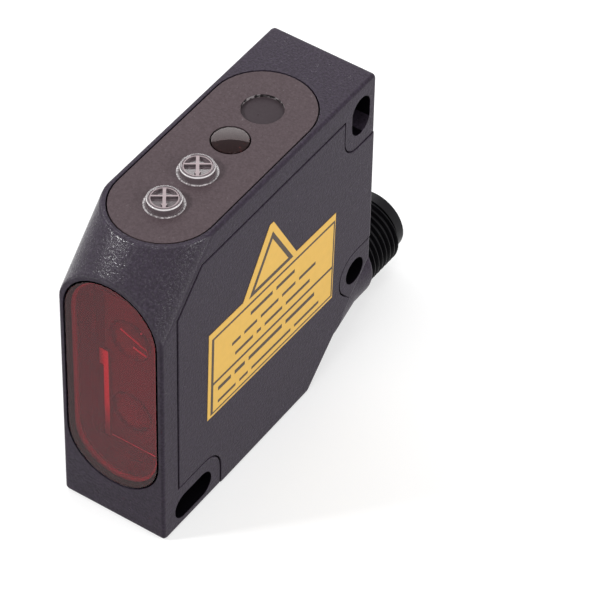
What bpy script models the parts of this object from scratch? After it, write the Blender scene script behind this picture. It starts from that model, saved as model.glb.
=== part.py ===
"""Laser displacement sensor: a flat 50 x 50 x 17 mm moulded housing with a red front window,
a control plate with two clear adjusters on top, and a plug elbow that swivels on the cut corner.

Run with: blender --background --python part.py
Units are metres, +Z is up and the sensor looks along -Y. The origin is the centre of the flat
base face. Side outlines are written as (depth from the front face, height above the base).
"""

import math

import bmesh
import bpy
from mathutils import Matrix, Vector

# Housing block
HOUSING_WIDTH = 0.0170
HOUSING_DEPTH = 0.0500
HOUSING_HEIGHT = 0.0500
CORNER_CUT = 0.0150
HOOD_RUN = 0.0125
HOOD_DROP = 0.0131
EDGE_RADIUS = 0.0005
CORNER_RADIUS = 0.0008
SIDE_WALL = 0.0015
REAR_WALL = 0.0015
BASE_WALL = 0.0015
CUT_WALL = 0.0024

# Gap left between a piece and its seat
JOINT_GAP = 0.0003

# Side cover and its seam
COVER_THICKNESS = 0.0015
COVER_LEDGE = 0.0009
SEAM_FRONT = 0.0035
SEAM_TOP = 0.0039
SEAM_HOOD = 0.0002
SLOT_LAND = 0.0022
ROUND_LAND = 0.00175
UPPER_NOTCH_RADIUS = 0.0030
FRONT_NOTCH_RADIUS = 0.0038

# Fixing holes through the width: two slots and a round hole
HOLE_RADIUS = 0.00215
UPPER_SLOT_INSET = 0.0036
UPPER_SLOT_DROP = 0.0053
UPPER_SLOT_TRAVEL = 0.0021
FRONT_SLOT_INSET = 0.0069
FRONT_SLOT_RISE = 0.0034
FRONT_SLOT_TRAVEL = 0.0042
LOWER_HOLE_INSET = 0.0039
LOWER_HOLE_RISE = 0.0002

# Front window
WINDOW_SIDE_LAND = 0.0011
WINDOW_BOTTOM_LAND = 0.00695
WINDOW_TOP_LAND = 0.00575
WINDOW_THICKNESS = 0.0015
WINDOW_SETBACK = 0.00005
SEAL_THICKNESS = 0.0004
LEDGE_WIDTH = 0.0009

# Control plate on top
PLATE_SIDE_LAND = 0.00105
PLATE_REAR_LAND = 0.00755
PLATE_THICKNESS = 0.0015
PLATE_SETBACK = 0.0001
PLATE_FRONT_CENTRE = 0.0125
CONTROL_COUNT = 4
CONTROL_WEB = 0.0011
BLANK_RADIUS = 0.0030
BLANK_DEPTH = 0.00055

# Adjusters: clear knob, slotted rotor, trimmer body
KNOB_STAND = 0.00145
KNOB_ROUND = 0.00018
KNOB_FLANGE = 0.0007
KNOB_FLANGE_THICKNESS = 0.0008
KNOB_ANGLE = -55.0
ARROW_MARGIN = 0.0007
ARROW_DEPTH = 0.0007
BLADE_THICKNESS = 0.0006
ROTOR_RIM = 0.0002
ROTOR_THICKNESS = 0.0010
ROTOR_WEB = 0.00035
TRIMMER_SPACE = 0.0011
TRIMMER_WALL = 0.0004
TRIMMER_HEIGHT = 0.0024
INDICATOR_CORE = 0.0017
INDICATOR_DOME = 0.00025
LED_SIDE = 0.0028
LED_HEIGHT = 0.0009

# Boards
BOARD_THICKNESS = 0.0010
CONTROL_BOARD_DROP = 0.0058
CONTROL_BOARD_FRONT = 0.0096
CONTROL_BOARD_REAR_LAND = 0.0095
RAIL_DEPTH = 0.0018
RAIL_HEIGHT = 0.0009
STANDOFF_RADIUS = 0.0016
STANDOFF_HEIGHT = 0.0003
MAIN_BOARD_FRONT = 0.0150
MAIN_BOARD_DROP = 0.0088
BOARD_MARGIN = 0.0008
PROCESSOR_SIDE = 0.0070
PROCESSOR_HEIGHT = 0.0010
DRIVER_LENGTH = 0.0050
DRIVER_WIDTH = 0.0040
DRIVER_HEIGHT = 0.0014
CAPACITOR_RADIUS = 0.0020
CAPACITOR_HEIGHT = 0.0050
CAPACITOR_EDGE = 0.0003
HEADER_LENGTH = 0.0100
HEADER_WIDTH = 0.0025
HEADER_LAP = 0.0030

# Optics behind the window
OPTICS_FRONT = 0.0052
OPTICS_PLATE = 0.0012
OPTICS_DEPTH = 0.0116
OPTICS_WEB = 0.0010
OPTICS_SHELF = 0.0012
OPTICS_DROP = 0.0115
DETECTOR_REAR_LAND = 0.0236
PLATE_EDGE_X = -0.0042
PLATE_EDGE_RISE = 0.00155
RIB_WIDTH = 0.00085
RIB_PROUD = 0.0004
RIB_LENGTH = 0.0167
RIB_TAB = 0.0008
RIB_TAB_HEIGHT = 0.0033
LENS_RADIUS = 0.0032
LENS_EDGE = 0.0008
LENS_CROWN = 0.0009
LENS_LIP = 0.0005
EMITTER_SHARE = 0.74
RECEIVER_SHARE = 0.272
BARREL_LENGTH = 0.0085
BARREL_WALL = 0.0007
DIODE_SEAT = 0.0015
DIODE_RADIUS = 0.0027
DIODE_FLANGE = 0.0012
DIODE_CAP = 0.0018
LEG_LENGTH = 0.0036
LEG_RADIUS = 0.00022
CHIP_SIDE = 0.0060
CHIP_THICKNESS = 0.0018

# Swivelling plug elbow
PLUG_AXIS_HEIGHT = 0.0065
ELBOW_BASE_CLEARANCE = 0.0001
ELBOW_NECK_REACH = 0.0005
ELBOW_REACH = 0.00485
ELBOW_EDGE = 0.0008
DISC_RIM = 0.0007
DISC_MARGIN = 0.0003
SPIGOT_RADIUS = 0.0034
SPIGOT_TAIL = 0.0010
CLIP_THICKNESS = 0.0006
CLIP_WIDTH = 0.0017
CLIP_MOUTH = 50.0
GROOVE_DEPTH = 0.0008
LEAD_BORE = 0.0018
LEAD_RADIUS = 0.0011
LEAD_TAIL = 0.0034
SEAL_RING_RADIUS = 0.0056
SEAL_CORD = 0.0005
SLEEVE_SEAT_RADIUS = 0.0049
SLEEVE_SEAT_DEPTH = 0.0060
THREAD_RADIUS = 0.0060
THREAD_LENGTH = 0.00605
COLLAR_RADIUS = 0.0052
COLLAR_LENGTH = 0.00305
COLLAR_CHAMFER = 0.0004
SLEEVE_BORE = 0.0042
INSERT_LENGTH = 0.0082
PIN_RADIUS = 0.0005
PIN_CIRCLE = 0.0025
PIN_REACH = 0.0053
PIN_COUNT = 4

# Label on the side cover
LABEL_LENGTH = 0.0306
LABEL_HEIGHT = 0.0163
LABEL_THICKNESS = 0.00015
LABEL_LIFT = 0.0001
LABEL_FRONT = 0.0102
LABEL_BASE = 0.01535
LABEL_TILT = -1.9
TAB_START = 0.0083
TAB_WIDTH = 0.0126
TAB_HEIGHT = 0.0095
TAB_TIP = 0.0013

# Values that follow from the ones above
HALF = HOUSING_WIDTH / 2
FRONT_Y = -(HOUSING_DEPTH - CORNER_CUT) / 2
OVERRUN = 0.001
MERGE_DISTANCE = 1e-7
TURN = 2 * math.pi
DIAGONAL = math.sqrt(2)


def clear_scene():
    for item in list(bpy.data.objects):
        bpy.data.objects.remove(item, do_unlink=True)


def make_material(name, colour, roughness, metallic=0.0, transmission=0.0):
    material = bpy.data.materials.new(name)
    material.use_nodes = True
    shader = material.node_tree.nodes["Principled BSDF"]
    shader.inputs["Base Color"].default_value = (*colour, 1.0)
    shader.inputs["Roughness"].default_value = roughness
    shader.inputs["Metallic"].default_value = metallic
    shader.inputs["Transmission Weight"].default_value = transmission
    return material


def finish_mesh(name, mesh_data, material=None, parent=None):
    """Turns a bmesh into an object with outward faces, shaded smooth across shallow edges."""
    bmesh.ops.recalc_face_normals(mesh_data, faces=mesh_data.faces)
    mesh = bpy.data.meshes.new(name)
    mesh_data.to_mesh(mesh)
    mesh_data.free()
    mesh.shade_smooth()
    mesh.set_sharp_from_angle(angle=math.radians(32))
    item = bpy.data.objects.new(name, mesh)
    bpy.context.scene.collection.objects.link(item)
    if material:
        mesh.materials.append(material)
    if parent:
        item.parent = parent
    return item


def as_tool(item):
    item.hide_render = True
    item.display_type = "WIRE"
    return item


def combine(target, tool, operation):
    """Adds an exact Boolean with a hidden tool object."""
    as_tool(tool)
    if tool.parent is None and target.parent is not None:
        tool.parent = target.parent
    modifier = target.modifiers.new(tool.name, "BOOLEAN")
    modifier.operation = operation
    modifier.solver = "EXACT"
    modifier.object = tool
    return target


def loft(rings):
    """Closed solid skinned through rings of equally many points, with flat end faces."""
    built = bmesh.new()
    rows = [[built.verts.new(point) for point in ring] for ring in rings]
    count = len(rings[0])
    for low, high in zip(rows, rows[1:]):
        for i in range(count):
            j = (i + 1) % count
            built.faces.new((low[i], low[j], high[j], high[i]))
    built.faces.new(rows[0])
    built.faces.new(rows[-1])
    return built


def turned(profile, steps=40):
    """Closed solid spun about local Z from a profile of (radius, height) points.
    The profile ends on the axis, or runs round a closed ring section."""
    built = bmesh.new()
    points = [built.verts.new((r, 0, h)) for r, h in profile]
    edges = [built.edges.new(pair) for pair in zip(points, points[1:])]
    if profile[0][0] > 0:
        edges.append(built.edges.new((points[-1], points[0])))
    bmesh.ops.spin(
        built, geom=points + edges, cent=(0, 0, 0), axis=(0, 0, 1), angle=TURN, steps=steps, use_merge=True
    )
    bmesh.ops.remove_doubles(built, verts=built.verts, dist=MERGE_DISTANCE)
    return built


def prism(outline, direction):
    """Closed solid extruded along a direction from an outline of 3D points."""
    built = bmesh.new()
    face = built.faces.new([built.verts.new(point) for point in outline])
    grown = bmesh.ops.extrude_face_region(built, geom=[face])
    moved = [item for item in grown["geom"] if isinstance(item, bmesh.types.BMVert)]
    bmesh.ops.translate(built, vec=direction, verts=moved)
    return built


def circle(radius, height, steps):
    return [
        (radius * math.cos(TURN * i / steps), radius * math.sin(TURN * i / steps), height)
        for i in range(steps)
    ]


def arc(centre, radius, start, end, steps):
    """Points on an arc in a plane, angles in degrees, both ends included."""
    points = []
    for i in range(steps + 1):
        angle = math.radians(start + (end - start) * i / steps)
        points.append((centre[0] + radius * math.cos(angle), centre[1] + radius * math.sin(angle)))
    return points


def stadium(start, end, radius, steps=20):
    """Round-ended slot outline about two centres on one axis of the plane."""
    heading = math.degrees(math.atan2(end[1] - start[1], end[0] - start[0]))
    far = arc(end, radius, heading - 90, heading + 90, steps)
    near = arc(start, radius, heading + 90, heading + 270, steps)
    return far + near


def across(outline, x_low, x_high):
    """Extrudes a (depth, height) outline across the width."""
    return prism([(x_low, FRONT_Y + d, z) for d, z in outline], (x_high - x_low, 0, 0))


def upright(outline, z_low, z_high):
    """Extrudes an (x, depth) outline upwards."""
    return prism([(x, FRONT_Y + d, z_low) for x, d in outline], (0, 0, z_high - z_low))


def inward(outline, depth_low, depth_high):
    """Extrudes an (x, height) outline from the front face towards the rear."""
    return prism([(x, FRONT_Y + depth_low, z) for x, z in outline], (0, depth_high - depth_low, 0))


def block(x, depth, height):
    """Box between (low, high) pairs of width, depth and height."""
    outline = [(depth[i], height[j]) for i, j in ((0, 0), (1, 0), (1, 1), (0, 1))]
    return across(outline, *x)


def place(item, location, rotation=(0, 0, 0)):
    item.location = location
    item.rotation_euler = rotation
    return item


def fillet(points, radius, steps=2):
    """Rounds every corner of a convex outline with arcs."""
    rounded = []
    for i, corner in enumerate(points):
        corner = Vector(corner)
        before = (Vector(points[i - 1]) - corner).normalized()
        after = (Vector(points[(i + 1) % len(points)]) - corner).normalized()
        half_angle = before.angle(after) / 2
        centre = corner + (before + after).normalized() * radius / math.sin(half_angle)
        reach = radius / math.tan(half_angle)
        first = corner + before * reach - centre
        last = corner + after * reach - centre
        sweep = first.angle(last)
        side = 1 if first.x * last.y > first.y * last.x else -1
        for k in range(steps + 1):
            turn = side * sweep * k / steps
            rounded.append(
                (
                    centre.x + first.x * math.cos(turn) - first.y * math.sin(turn),
                    centre.y + first.x * math.sin(turn) + first.y * math.cos(turn),
                )
            )
    return rounded


# Places that several pieces share

UPPER_SLOT = (HOUSING_DEPTH - UPPER_SLOT_INSET, HOUSING_HEIGHT - UPPER_SLOT_DROP)
LOWER_HOLE = (HOUSING_DEPTH - LOWER_HOLE_INSET, CORNER_CUT + LOWER_HOLE_RISE)
FRONT_SLOT = (FRONT_SLOT_INSET, FRONT_SLOT_RISE)
COVER_INNER_X = HALF - COVER_THICKNESS
WALL_X = -HALF + SIDE_WALL
WINDOW_RADIUS = HALF - WINDOW_SIDE_LAND
WINDOW_BOTTOM_CENTRE = WINDOW_BOTTOM_LAND + WINDOW_RADIUS
WINDOW_TOP_CENTRE = HOUSING_HEIGHT - WINDOW_TOP_LAND - WINDOW_RADIUS
POCKET_RADIUS = WINDOW_RADIUS + JOINT_GAP
SEAL_FRONT = WINDOW_SETBACK + WINDOW_THICKNESS + JOINT_GAP
POCKET_FLOOR = SEAL_FRONT + SEAL_THICKNESS + JOINT_GAP
PLATE_RADIUS = HALF - PLATE_SIDE_LAND
PLATE_REAR_CENTRE = HOUSING_DEPTH - PLATE_REAR_LAND - PLATE_RADIUS
CONTROL_PITCH = (PLATE_REAR_CENTRE - PLATE_FRONT_CENTRE) / (CONTROL_COUNT - 1)
FLANGE_RADIUS = (CONTROL_PITCH - CONTROL_WEB) / 2
CONTROL_RADIUS = FLANGE_RADIUS - KNOB_FLANGE
ARROW_LENGTH = 2 * (CONTROL_RADIUS - ARROW_MARGIN)
ARROW_BAR = ARROW_LENGTH / 7
TRIMMER_SIDE = CONTROL_PITCH - TRIMMER_SPACE
ROTOR_RADIUS = TRIMMER_SIDE / 2 - TRIMMER_WALL - JOINT_GAP
BLADE_LENGTH = 2 * (ROTOR_RADIUS - ROTOR_RIM - JOINT_GAP)
PLATE_TOP = HOUSING_HEIGHT - PLATE_SETBACK
PLATE_UNDER = PLATE_TOP - PLATE_THICKNESS
PLATE_SEAT = PLATE_UNDER - JOINT_GAP
FLANGE_TOP = PLATE_UNDER - JOINT_GAP
CONTROL_BOARD_TOP = HOUSING_HEIGHT - CONTROL_BOARD_DROP
CONTROL_BOARD_REAR = HOUSING_DEPTH - CONTROL_BOARD_REAR_LAND
OPTICS_FLOOR = FRONT_SLOT_RISE + HOLE_RADIUS + SLOT_LAND + COVER_LEDGE + JOINT_GAP
OPTICS_TOP = HOUSING_HEIGHT - OPTICS_DROP
OPTICS_REAR = HOUSING_DEPTH - DETECTOR_REAR_LAND
EMITTER_HEIGHT = OPTICS_FLOOR + EMITTER_SHARE * (OPTICS_TOP - OPTICS_FLOOR)
RECEIVER_HEIGHT = OPTICS_FLOOR + RECEIVER_SHARE * (OPTICS_TOP - OPTICS_FLOOR)
MAIN_BOARD_TOP = HOUSING_HEIGHT - MAIN_BOARD_DROP
MAIN_BOARD_X = WALL_X + STANDOFF_HEIGHT + JOINT_GAP
MAIN_BOARD_FACE = MAIN_BOARD_X + BOARD_THICKNESS
SWIVEL_CENTRE = Vector((0, FRONT_Y + HOUSING_DEPTH - CORNER_CUT / 2, CORNER_CUT / 2))
PLUG_REACH = (CORNER_CUT / 2 - PLUG_AXIS_HEIGHT) * DIAGONAL
PLUG_AXIS_DEPTH = HOUSING_DEPTH - PLUG_AXIS_HEIGHT
ELBOW_RADIUS = PLUG_AXIS_HEIGHT - ELBOW_BASE_CLEARANCE
DISC_RADIUS = HALF - DISC_MARGIN
BORE_RADIUS = SPIGOT_RADIUS + JOINT_GAP


def control_depth(index):
    """Depth of a control on the plate, counted from the front adjuster."""
    return PLATE_FRONT_CENTRE + index * CONTROL_PITCH


def hood_height(depth):
    """Height of the hood's side line, where the flat side face ends."""
    return HOUSING_HEIGHT - HOOD_DROP + depth * HOOD_DROP / HOOD_RUN


def outer_section(x, inset):
    """Side outline of the block at one place across its width."""
    rise = math.sqrt(max(HALF**2 - x**2, 0.0))
    front_top = HOUSING_HEIGHT - HOOD_DROP + rise
    top_front = HOOD_RUN - rise
    slope = (HOUSING_HEIGHT - front_top) / top_front
    cut_shift = inset * (DIAGONAL - 1)
    corners = [
        (inset, inset),
        (HOUSING_DEPTH - CORNER_CUT - cut_shift, inset),
        (HOUSING_DEPTH - inset, CORNER_CUT + cut_shift),
        (HOUSING_DEPTH - inset, HOUSING_HEIGHT - inset),
        (top_front - inset / slope, HOUSING_HEIGHT - inset),
        (inset, front_top + inset * slope),
    ]
    return fillet(corners, CORNER_RADIUS - inset)


def outer_block():
    """The whole outer form: sections lofted across the width, with the arched hood and round edges."""
    flat = HALF - EDGE_RADIUS
    last = math.asin(flat / HALF)
    right = [(HALF * math.sin(last * i / 8), 0.0) for i in range(9)]
    for angle in (30, 60, 90):
        turn = math.radians(angle)
        right.append((flat + EDGE_RADIUS * math.sin(turn), EDGE_RADIUS * (1 - math.cos(turn))))
    places = [(-x, inset) for x, inset in reversed(right[1:])] + right
    return loft(
        [[(x, FRONT_Y + d, z) for d, z in outer_section(x, inset)] for x, inset in places]
    )


def cover_outline(inset, rear, base, cut):
    """Outline that stays clear of the three fixing holes. Inner seams move in by inset; the other
    sides lie rear, base and cut inside the housing's faces."""
    slope = HOOD_DROP / HOOD_RUN
    hood_shift = (SEAM_HOOD + inset) * math.sqrt(1 + slope**2)
    front = SEAM_FRONT + inset
    top = HOUSING_HEIGHT - SEAM_TOP - inset
    land = HOLE_RADIUS + ROUND_LAND + inset
    notch_side = UPPER_SLOT[0] - land
    notch_foot = UPPER_SLOT[1] - UPPER_SLOT_TRAVEL / 2 - HOLE_RADIUS - SLOT_LAND - inset
    upper_round = UPPER_NOTCH_RADIUS + inset
    front_side = FRONT_SLOT[0] + FRONT_SLOT_TRAVEL / 2 + HOLE_RADIUS + SLOT_LAND + inset
    front_roof = FRONT_SLOT[1] + HOLE_RADIUS + SLOT_LAND + inset
    front_round = FRONT_NOTCH_RADIUS + inset
    rear_side = HOUSING_DEPTH - rear
    cut_line = HOUSING_DEPTH - CORNER_CUT - cut * DIAGONAL
    leave = arc(LOWER_HOLE, land, 90, 225, 8)
    shift = (cut_line - (leave[-1][0] - leave[-1][1])) / 2
    points = [(front, front_roof), (front, hood_height(front) - hood_shift)]
    points.append(((top + hood_shift - hood_height(0)) / slope, top))
    points.append((notch_side, top))
    points += arc((notch_side + upper_round, notch_foot + upper_round), upper_round, 180, 270, 6)
    points.append((rear_side, notch_foot))
    points.append((rear_side, LOWER_HOLE[1] + land))
    points += leave
    points.append((leave[-1][0] + shift, leave[-1][1] - shift))
    points.append((cut_line + base, base))
    points.append((front_side, base))
    points += arc((front_side - front_round, front_roof - front_round), front_round, 0, 90, 6)
    return points


def fixing_holes():
    """The three hole outlines, as (depth, height) points."""
    depth, height = UPPER_SLOT
    reach = UPPER_SLOT_TRAVEL / 2
    upper = stadium((depth, height - reach), (depth, height + reach), HOLE_RADIUS, 14)
    depth, height = FRONT_SLOT
    reach = FRONT_SLOT_TRAVEL / 2
    front = stadium((depth - reach, height), (depth + reach, height), HOLE_RADIUS, 14)
    lower = arc(LOWER_HOLE, HOLE_RADIUS, 0, 345, 23)
    return {"upper_slot": upper, "front_slot": front, "lower_hole": lower}


def window_stadium(radius, steps=20):
    return stadium((0, WINDOW_BOTTOM_CENTRE), (0, WINDOW_TOP_CENTRE), radius, steps)


def plate_stadium(radius, steps=20):
    return stadium((0, PLATE_FRONT_CENTRE), (0, PLATE_REAR_CENTRE), radius, steps)


def build_housing(material):
    """Moulded housing: one body with the hood, window and plate seats, a cavity open to the cover
    side, the swivel bore, three fixing holes, board rails and standoffs."""
    housing = finish_mesh("housing", outer_block(), material)
    recess = cover_outline(-JOINT_GAP / 2, -OVERRUN, -OVERRUN, -OVERRUN)
    ledge_x = COVER_INNER_X - JOINT_GAP
    combine(housing, finish_mesh("cover_recess", across(recess, ledge_x, HALF + OVERRUN)), "DIFFERENCE")
    cavity = cover_outline(COVER_LEDGE, REAR_WALL, BASE_WALL, CUT_WALL)
    combine(housing, finish_mesh("cavity", across(cavity, WALL_X, HALF + OVERRUN)), "DIFFERENCE")
    pocket = inward(window_stadium(POCKET_RADIUS), -OVERRUN, POCKET_FLOOR)
    combine(housing, finish_mesh("window_pocket", pocket), "DIFFERENCE")
    aperture = inward(window_stadium(WINDOW_RADIUS - LEDGE_WIDTH), 0, SEAM_FRONT + COVER_LEDGE + OVERRUN / 2)
    combine(housing, finish_mesh("window_aperture", aperture), "DIFFERENCE")
    seat = upright(plate_stadium(PLATE_RADIUS + JOINT_GAP), PLATE_SEAT, HOUSING_HEIGHT + OVERRUN)
    combine(housing, finish_mesh("plate_seat", seat), "DIFFERENCE")
    well_foot = HOUSING_HEIGHT - SEAM_TOP - COVER_LEDGE - OVERRUN / 2
    well = upright(plate_stadium(PLATE_RADIUS - LEDGE_WIDTH), well_foot, HOUSING_HEIGHT)
    combine(housing, finish_mesh("plate_well", well), "DIFFERENCE")
    for name, outline in fixing_holes().items():
        hole = across(outline, -HALF - OVERRUN, HALF + OVERRUN)
        combine(housing, finish_mesh(name, hole), "DIFFERENCE")
    tilt = (math.radians(-135), 0, 0)
    bore = finish_mesh("swivel_bore", turned([(0, -CUT_WALL - OVERRUN), (BORE_RADIUS, -CUT_WALL - OVERRUN),
                                              (BORE_RADIUS, OVERRUN), (0, OVERRUN)]))
    combine(housing, place(bore, SWIVEL_CENTRE, tilt), "DIFFERENCE")
    clip_room = SPIGOT_RADIUS - GROOVE_DEPTH + JOINT_GAP + CLIP_WIDTH + JOINT_GAP
    room_foot = -(CUT_WALL + 2 * JOINT_GAP + CLIP_THICKNESS + SPIGOT_TAIL + LEAD_TAIL)
    room = finish_mesh("clip_room", turned([(0, room_foot), (clip_room, room_foot),
                                            (clip_room, -CUT_WALL), (0, -CUT_WALL)]))
    combine(housing, place(room, SWIVEL_CENTRE, tilt), "DIFFERENCE")
    rail_top = CONTROL_BOARD_TOP - BOARD_THICKNESS - JOINT_GAP
    rail = block(
        (WALL_X - SIDE_WALL / 2, WALL_X + RAIL_DEPTH),
        (CONTROL_BOARD_FRONT, CONTROL_BOARD_REAR - BOARD_MARGIN),
        (rail_top - RAIL_HEIGHT, rail_top),
    )
    combine(housing, finish_mesh("board_rail", rail), "UNION")
    for index, (depth, height) in enumerate(standoff_places()):
        post = finish_mesh(
            f"standoff_{index}",
            turned([(0, -SIDE_WALL / 2), (STANDOFF_RADIUS, -SIDE_WALL / 2),
                    (STANDOFF_RADIUS, STANDOFF_HEIGHT), (0, STANDOFF_HEIGHT)], 20),
        )
        place(post, (WALL_X, FRONT_Y + depth, height), (0, math.radians(90), 0))
        combine(housing, post, "UNION")


def standoff_places():
    """Centres of the four main-board standoffs, as (depth, height)."""
    inset = STANDOFF_RADIUS + 2 * BOARD_MARGIN
    rear = HOUSING_DEPTH - REAR_WALL - BOARD_MARGIN - inset
    middle = (MAIN_BOARD_FRONT + rear) / 2
    low = BASE_WALL + BOARD_MARGIN + inset
    top = MAIN_BOARD_TOP - inset
    return [
        (MAIN_BOARD_FRONT + inset, low),
        (MAIN_BOARD_FRONT + inset, top),
        (middle, top),
        (rear, (LOWER_HOLE[1] + UPPER_SLOT[1]) / 2),
    ]


def build_cover(material):
    """Side cover: the same outer form, kept only inside the seam and down to its own thickness."""
    cover = finish_mesh("side_cover", outer_block(), material)
    outline = cover_outline(JOINT_GAP / 2, -OVERRUN, -OVERRUN, -OVERRUN)
    combine(cover, finish_mesh("cover_cutter", across(outline, COVER_INNER_X, HALF + OVERRUN)), "INTERSECT")


def build_window(glass, rubber):
    front = inward(window_stadium(WINDOW_RADIUS), WINDOW_SETBACK, WINDOW_SETBACK + WINDOW_THICKNESS)
    finish_mesh("front_window", front, glass)
    seal = finish_mesh(
        "window_seal", inward(window_stadium(WINDOW_RADIUS), SEAL_FRONT, SEAL_FRONT + SEAL_THICKNESS), rubber
    )
    hole = inward(window_stadium(WINDOW_RADIUS - LEDGE_WIDTH), 0, POCKET_FLOOR + OVERRUN)
    combine(seal, finish_mesh("seal_hole", hole), "DIFFERENCE")


def build_plate(material):
    """Control plate with two knob holes, the indicator hole and a blank round recess."""
    slab = upright(plate_stadium(PLATE_RADIUS), PLATE_UNDER, PLATE_TOP)
    plate = finish_mesh("control_plate", slab, material)
    for index in range(CONTROL_COUNT - 1):
        radius = CONTROL_RADIUS + JOINT_GAP
        hole = turned([(0, PLATE_UNDER - OVERRUN), (radius, PLATE_UNDER - OVERRUN),
                       (radius, PLATE_TOP + OVERRUN), (0, PLATE_TOP + OVERRUN)], 36)
        tool = place(finish_mesh(f"plate_hole_{index}", hole), (0, FRONT_Y + control_depth(index), 0))
        combine(plate, tool, "DIFFERENCE")
    blank = turned([(0, PLATE_TOP - BLANK_DEPTH), (BLANK_RADIUS, PLATE_TOP - BLANK_DEPTH),
                    (BLANK_RADIUS, PLATE_TOP + OVERRUN), (0, PLATE_TOP + OVERRUN)], 36)
    tool = place(finish_mesh("plate_blank", blank), (0, FRONT_Y + PLATE_REAR_CENTRE, 0))
    combine(plate, tool, "DIFFERENCE")


def arrow_outline():
    """Arrow with a crossbar, pointing along local +X, as the recess in a knob's top."""
    half = ARROW_LENGTH / 2
    bar = ARROW_BAR / 2
    head = 3 * ARROW_BAR / 2
    upper = [(half - head, head), (half - head, bar), (bar, bar), (bar, half)]
    upper += [(-bar, half), (-bar, bar), (-half, bar)]
    return [(half, 0)] + upper + [(x, -y) for x, y in reversed(upper)]


def build_adjuster(name, index, clear, brass, casing):
    """One adjuster: a clear knob with a blade, the slotted rotor it turns, and the trimmer body."""
    centre = (0, FRONT_Y + control_depth(index), 0)
    pivot = bpy.data.objects.new(f"{name}_axis", None)
    bpy.context.scene.collection.objects.link(pivot)
    place(pivot, centre, (0, 0, math.radians(KNOB_ANGLE)))
    flange_foot = FLANGE_TOP - KNOB_FLANGE_THICKNESS
    top = HOUSING_HEIGHT + KNOB_STAND
    profile = [
        (0, flange_foot), (FLANGE_RADIUS, flange_foot), (FLANGE_RADIUS, FLANGE_TOP),
        (CONTROL_RADIUS, FLANGE_TOP), (CONTROL_RADIUS, top - KNOB_ROUND), (CONTROL_RADIUS - KNOB_ROUND, top),
        (0, top),
    ]
    knob = finish_mesh(f"{name}_knob", turned(profile), clear, pivot)
    trimmer_top = CONTROL_BOARD_TOP + JOINT_GAP + TRIMMER_HEIGHT
    well_floor = trimmer_top - ROTOR_THICKNESS - JOINT_GAP
    rotor_foot = well_floor + JOINT_GAP
    slot_floor = rotor_foot + ROTOR_WEB
    blade = flat_bar(BLADE_LENGTH, BLADE_THICKNESS, slot_floor + JOINT_GAP, flange_foot + JOINT_GAP)
    combine(knob, finish_mesh(f"{name}_blade", blade), "UNION")
    arrow = prism([(x, y, top - ARROW_DEPTH) for x, y in arrow_outline()], (0, 0, ARROW_DEPTH + OVERRUN))
    combine(knob, finish_mesh(f"{name}_arrow", arrow), "DIFFERENCE")
    rotor_top = rotor_foot + ROTOR_THICKNESS
    rotor_profile = [(0, rotor_foot), (ROTOR_RADIUS, rotor_foot), (ROTOR_RADIUS, rotor_top), (0, rotor_top)]
    rotor = finish_mesh(f"{name}_rotor", turned(rotor_profile, 28), brass, pivot)
    slot = flat_bar(
        BLADE_LENGTH + 2 * JOINT_GAP, BLADE_THICKNESS + 2 * JOINT_GAP, slot_floor, rotor_top + OVERRUN
    )
    combine(rotor, finish_mesh(f"{name}_slot", slot), "DIFFERENCE")
    half = TRIMMER_SIDE / 2
    depth = control_depth(index)
    body = block((-half, half), (depth - half, depth + half), (CONTROL_BOARD_TOP + JOINT_GAP, trimmer_top))
    trimmer = finish_mesh(f"{name}_trimmer", body, casing)
    room = ROTOR_RADIUS + JOINT_GAP
    well = turned([(0, well_floor), (room, well_floor), (room, trimmer_top + OVERRUN),
                   (0, trimmer_top + OVERRUN)], 28)
    combine(trimmer, place(finish_mesh(f"{name}_well", well), centre), "DIFFERENCE")


def flat_bar(length, thickness, z_low, z_high):
    """Bar centred on local Z, long along local X."""
    a, b = length / 2, thickness / 2
    outline = [(-a, -b), (a, -b), (a, b), (-a, b)]
    return prism([(x, y, z_low) for x, y in outline], (0, 0, z_high - z_low))


def dome(radius, foot, crown):
    """Profile of a shallow dome from its rim to the axis, as a parabola."""
    places = [i / 4 for i in range(5)]
    return [(radius * (1 - t), foot + crown * (1 - (1 - t) ** 2)) for t in places]


def build_indicator(lens_material, led_material):
    """Domed indicator lens with a light-pipe core, above its lamp."""
    centre = (0, FRONT_Y + control_depth(2), 0)
    flange_foot = FLANGE_TOP - KNOB_FLANGE_THICKNESS
    lamp_top = CONTROL_BOARD_TOP + JOINT_GAP + LED_HEIGHT
    profile = [
        (0, lamp_top + JOINT_GAP), (INDICATOR_CORE, lamp_top + JOINT_GAP), (INDICATOR_CORE, flange_foot),
        (FLANGE_RADIUS, flange_foot), (FLANGE_RADIUS, FLANGE_TOP), (CONTROL_RADIUS, FLANGE_TOP),
    ] + dome(CONTROL_RADIUS, PLATE_TOP, INDICATOR_DOME)
    place(finish_mesh("indicator_lens", turned(profile, 36), lens_material), centre)
    half = LED_SIDE / 2
    depth = control_depth(2)
    lamp = block((-half, half), (depth - half, depth + half), (CONTROL_BOARD_TOP + JOINT_GAP, lamp_top))
    finish_mesh("indicator_lamp", lamp, led_material)


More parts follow.
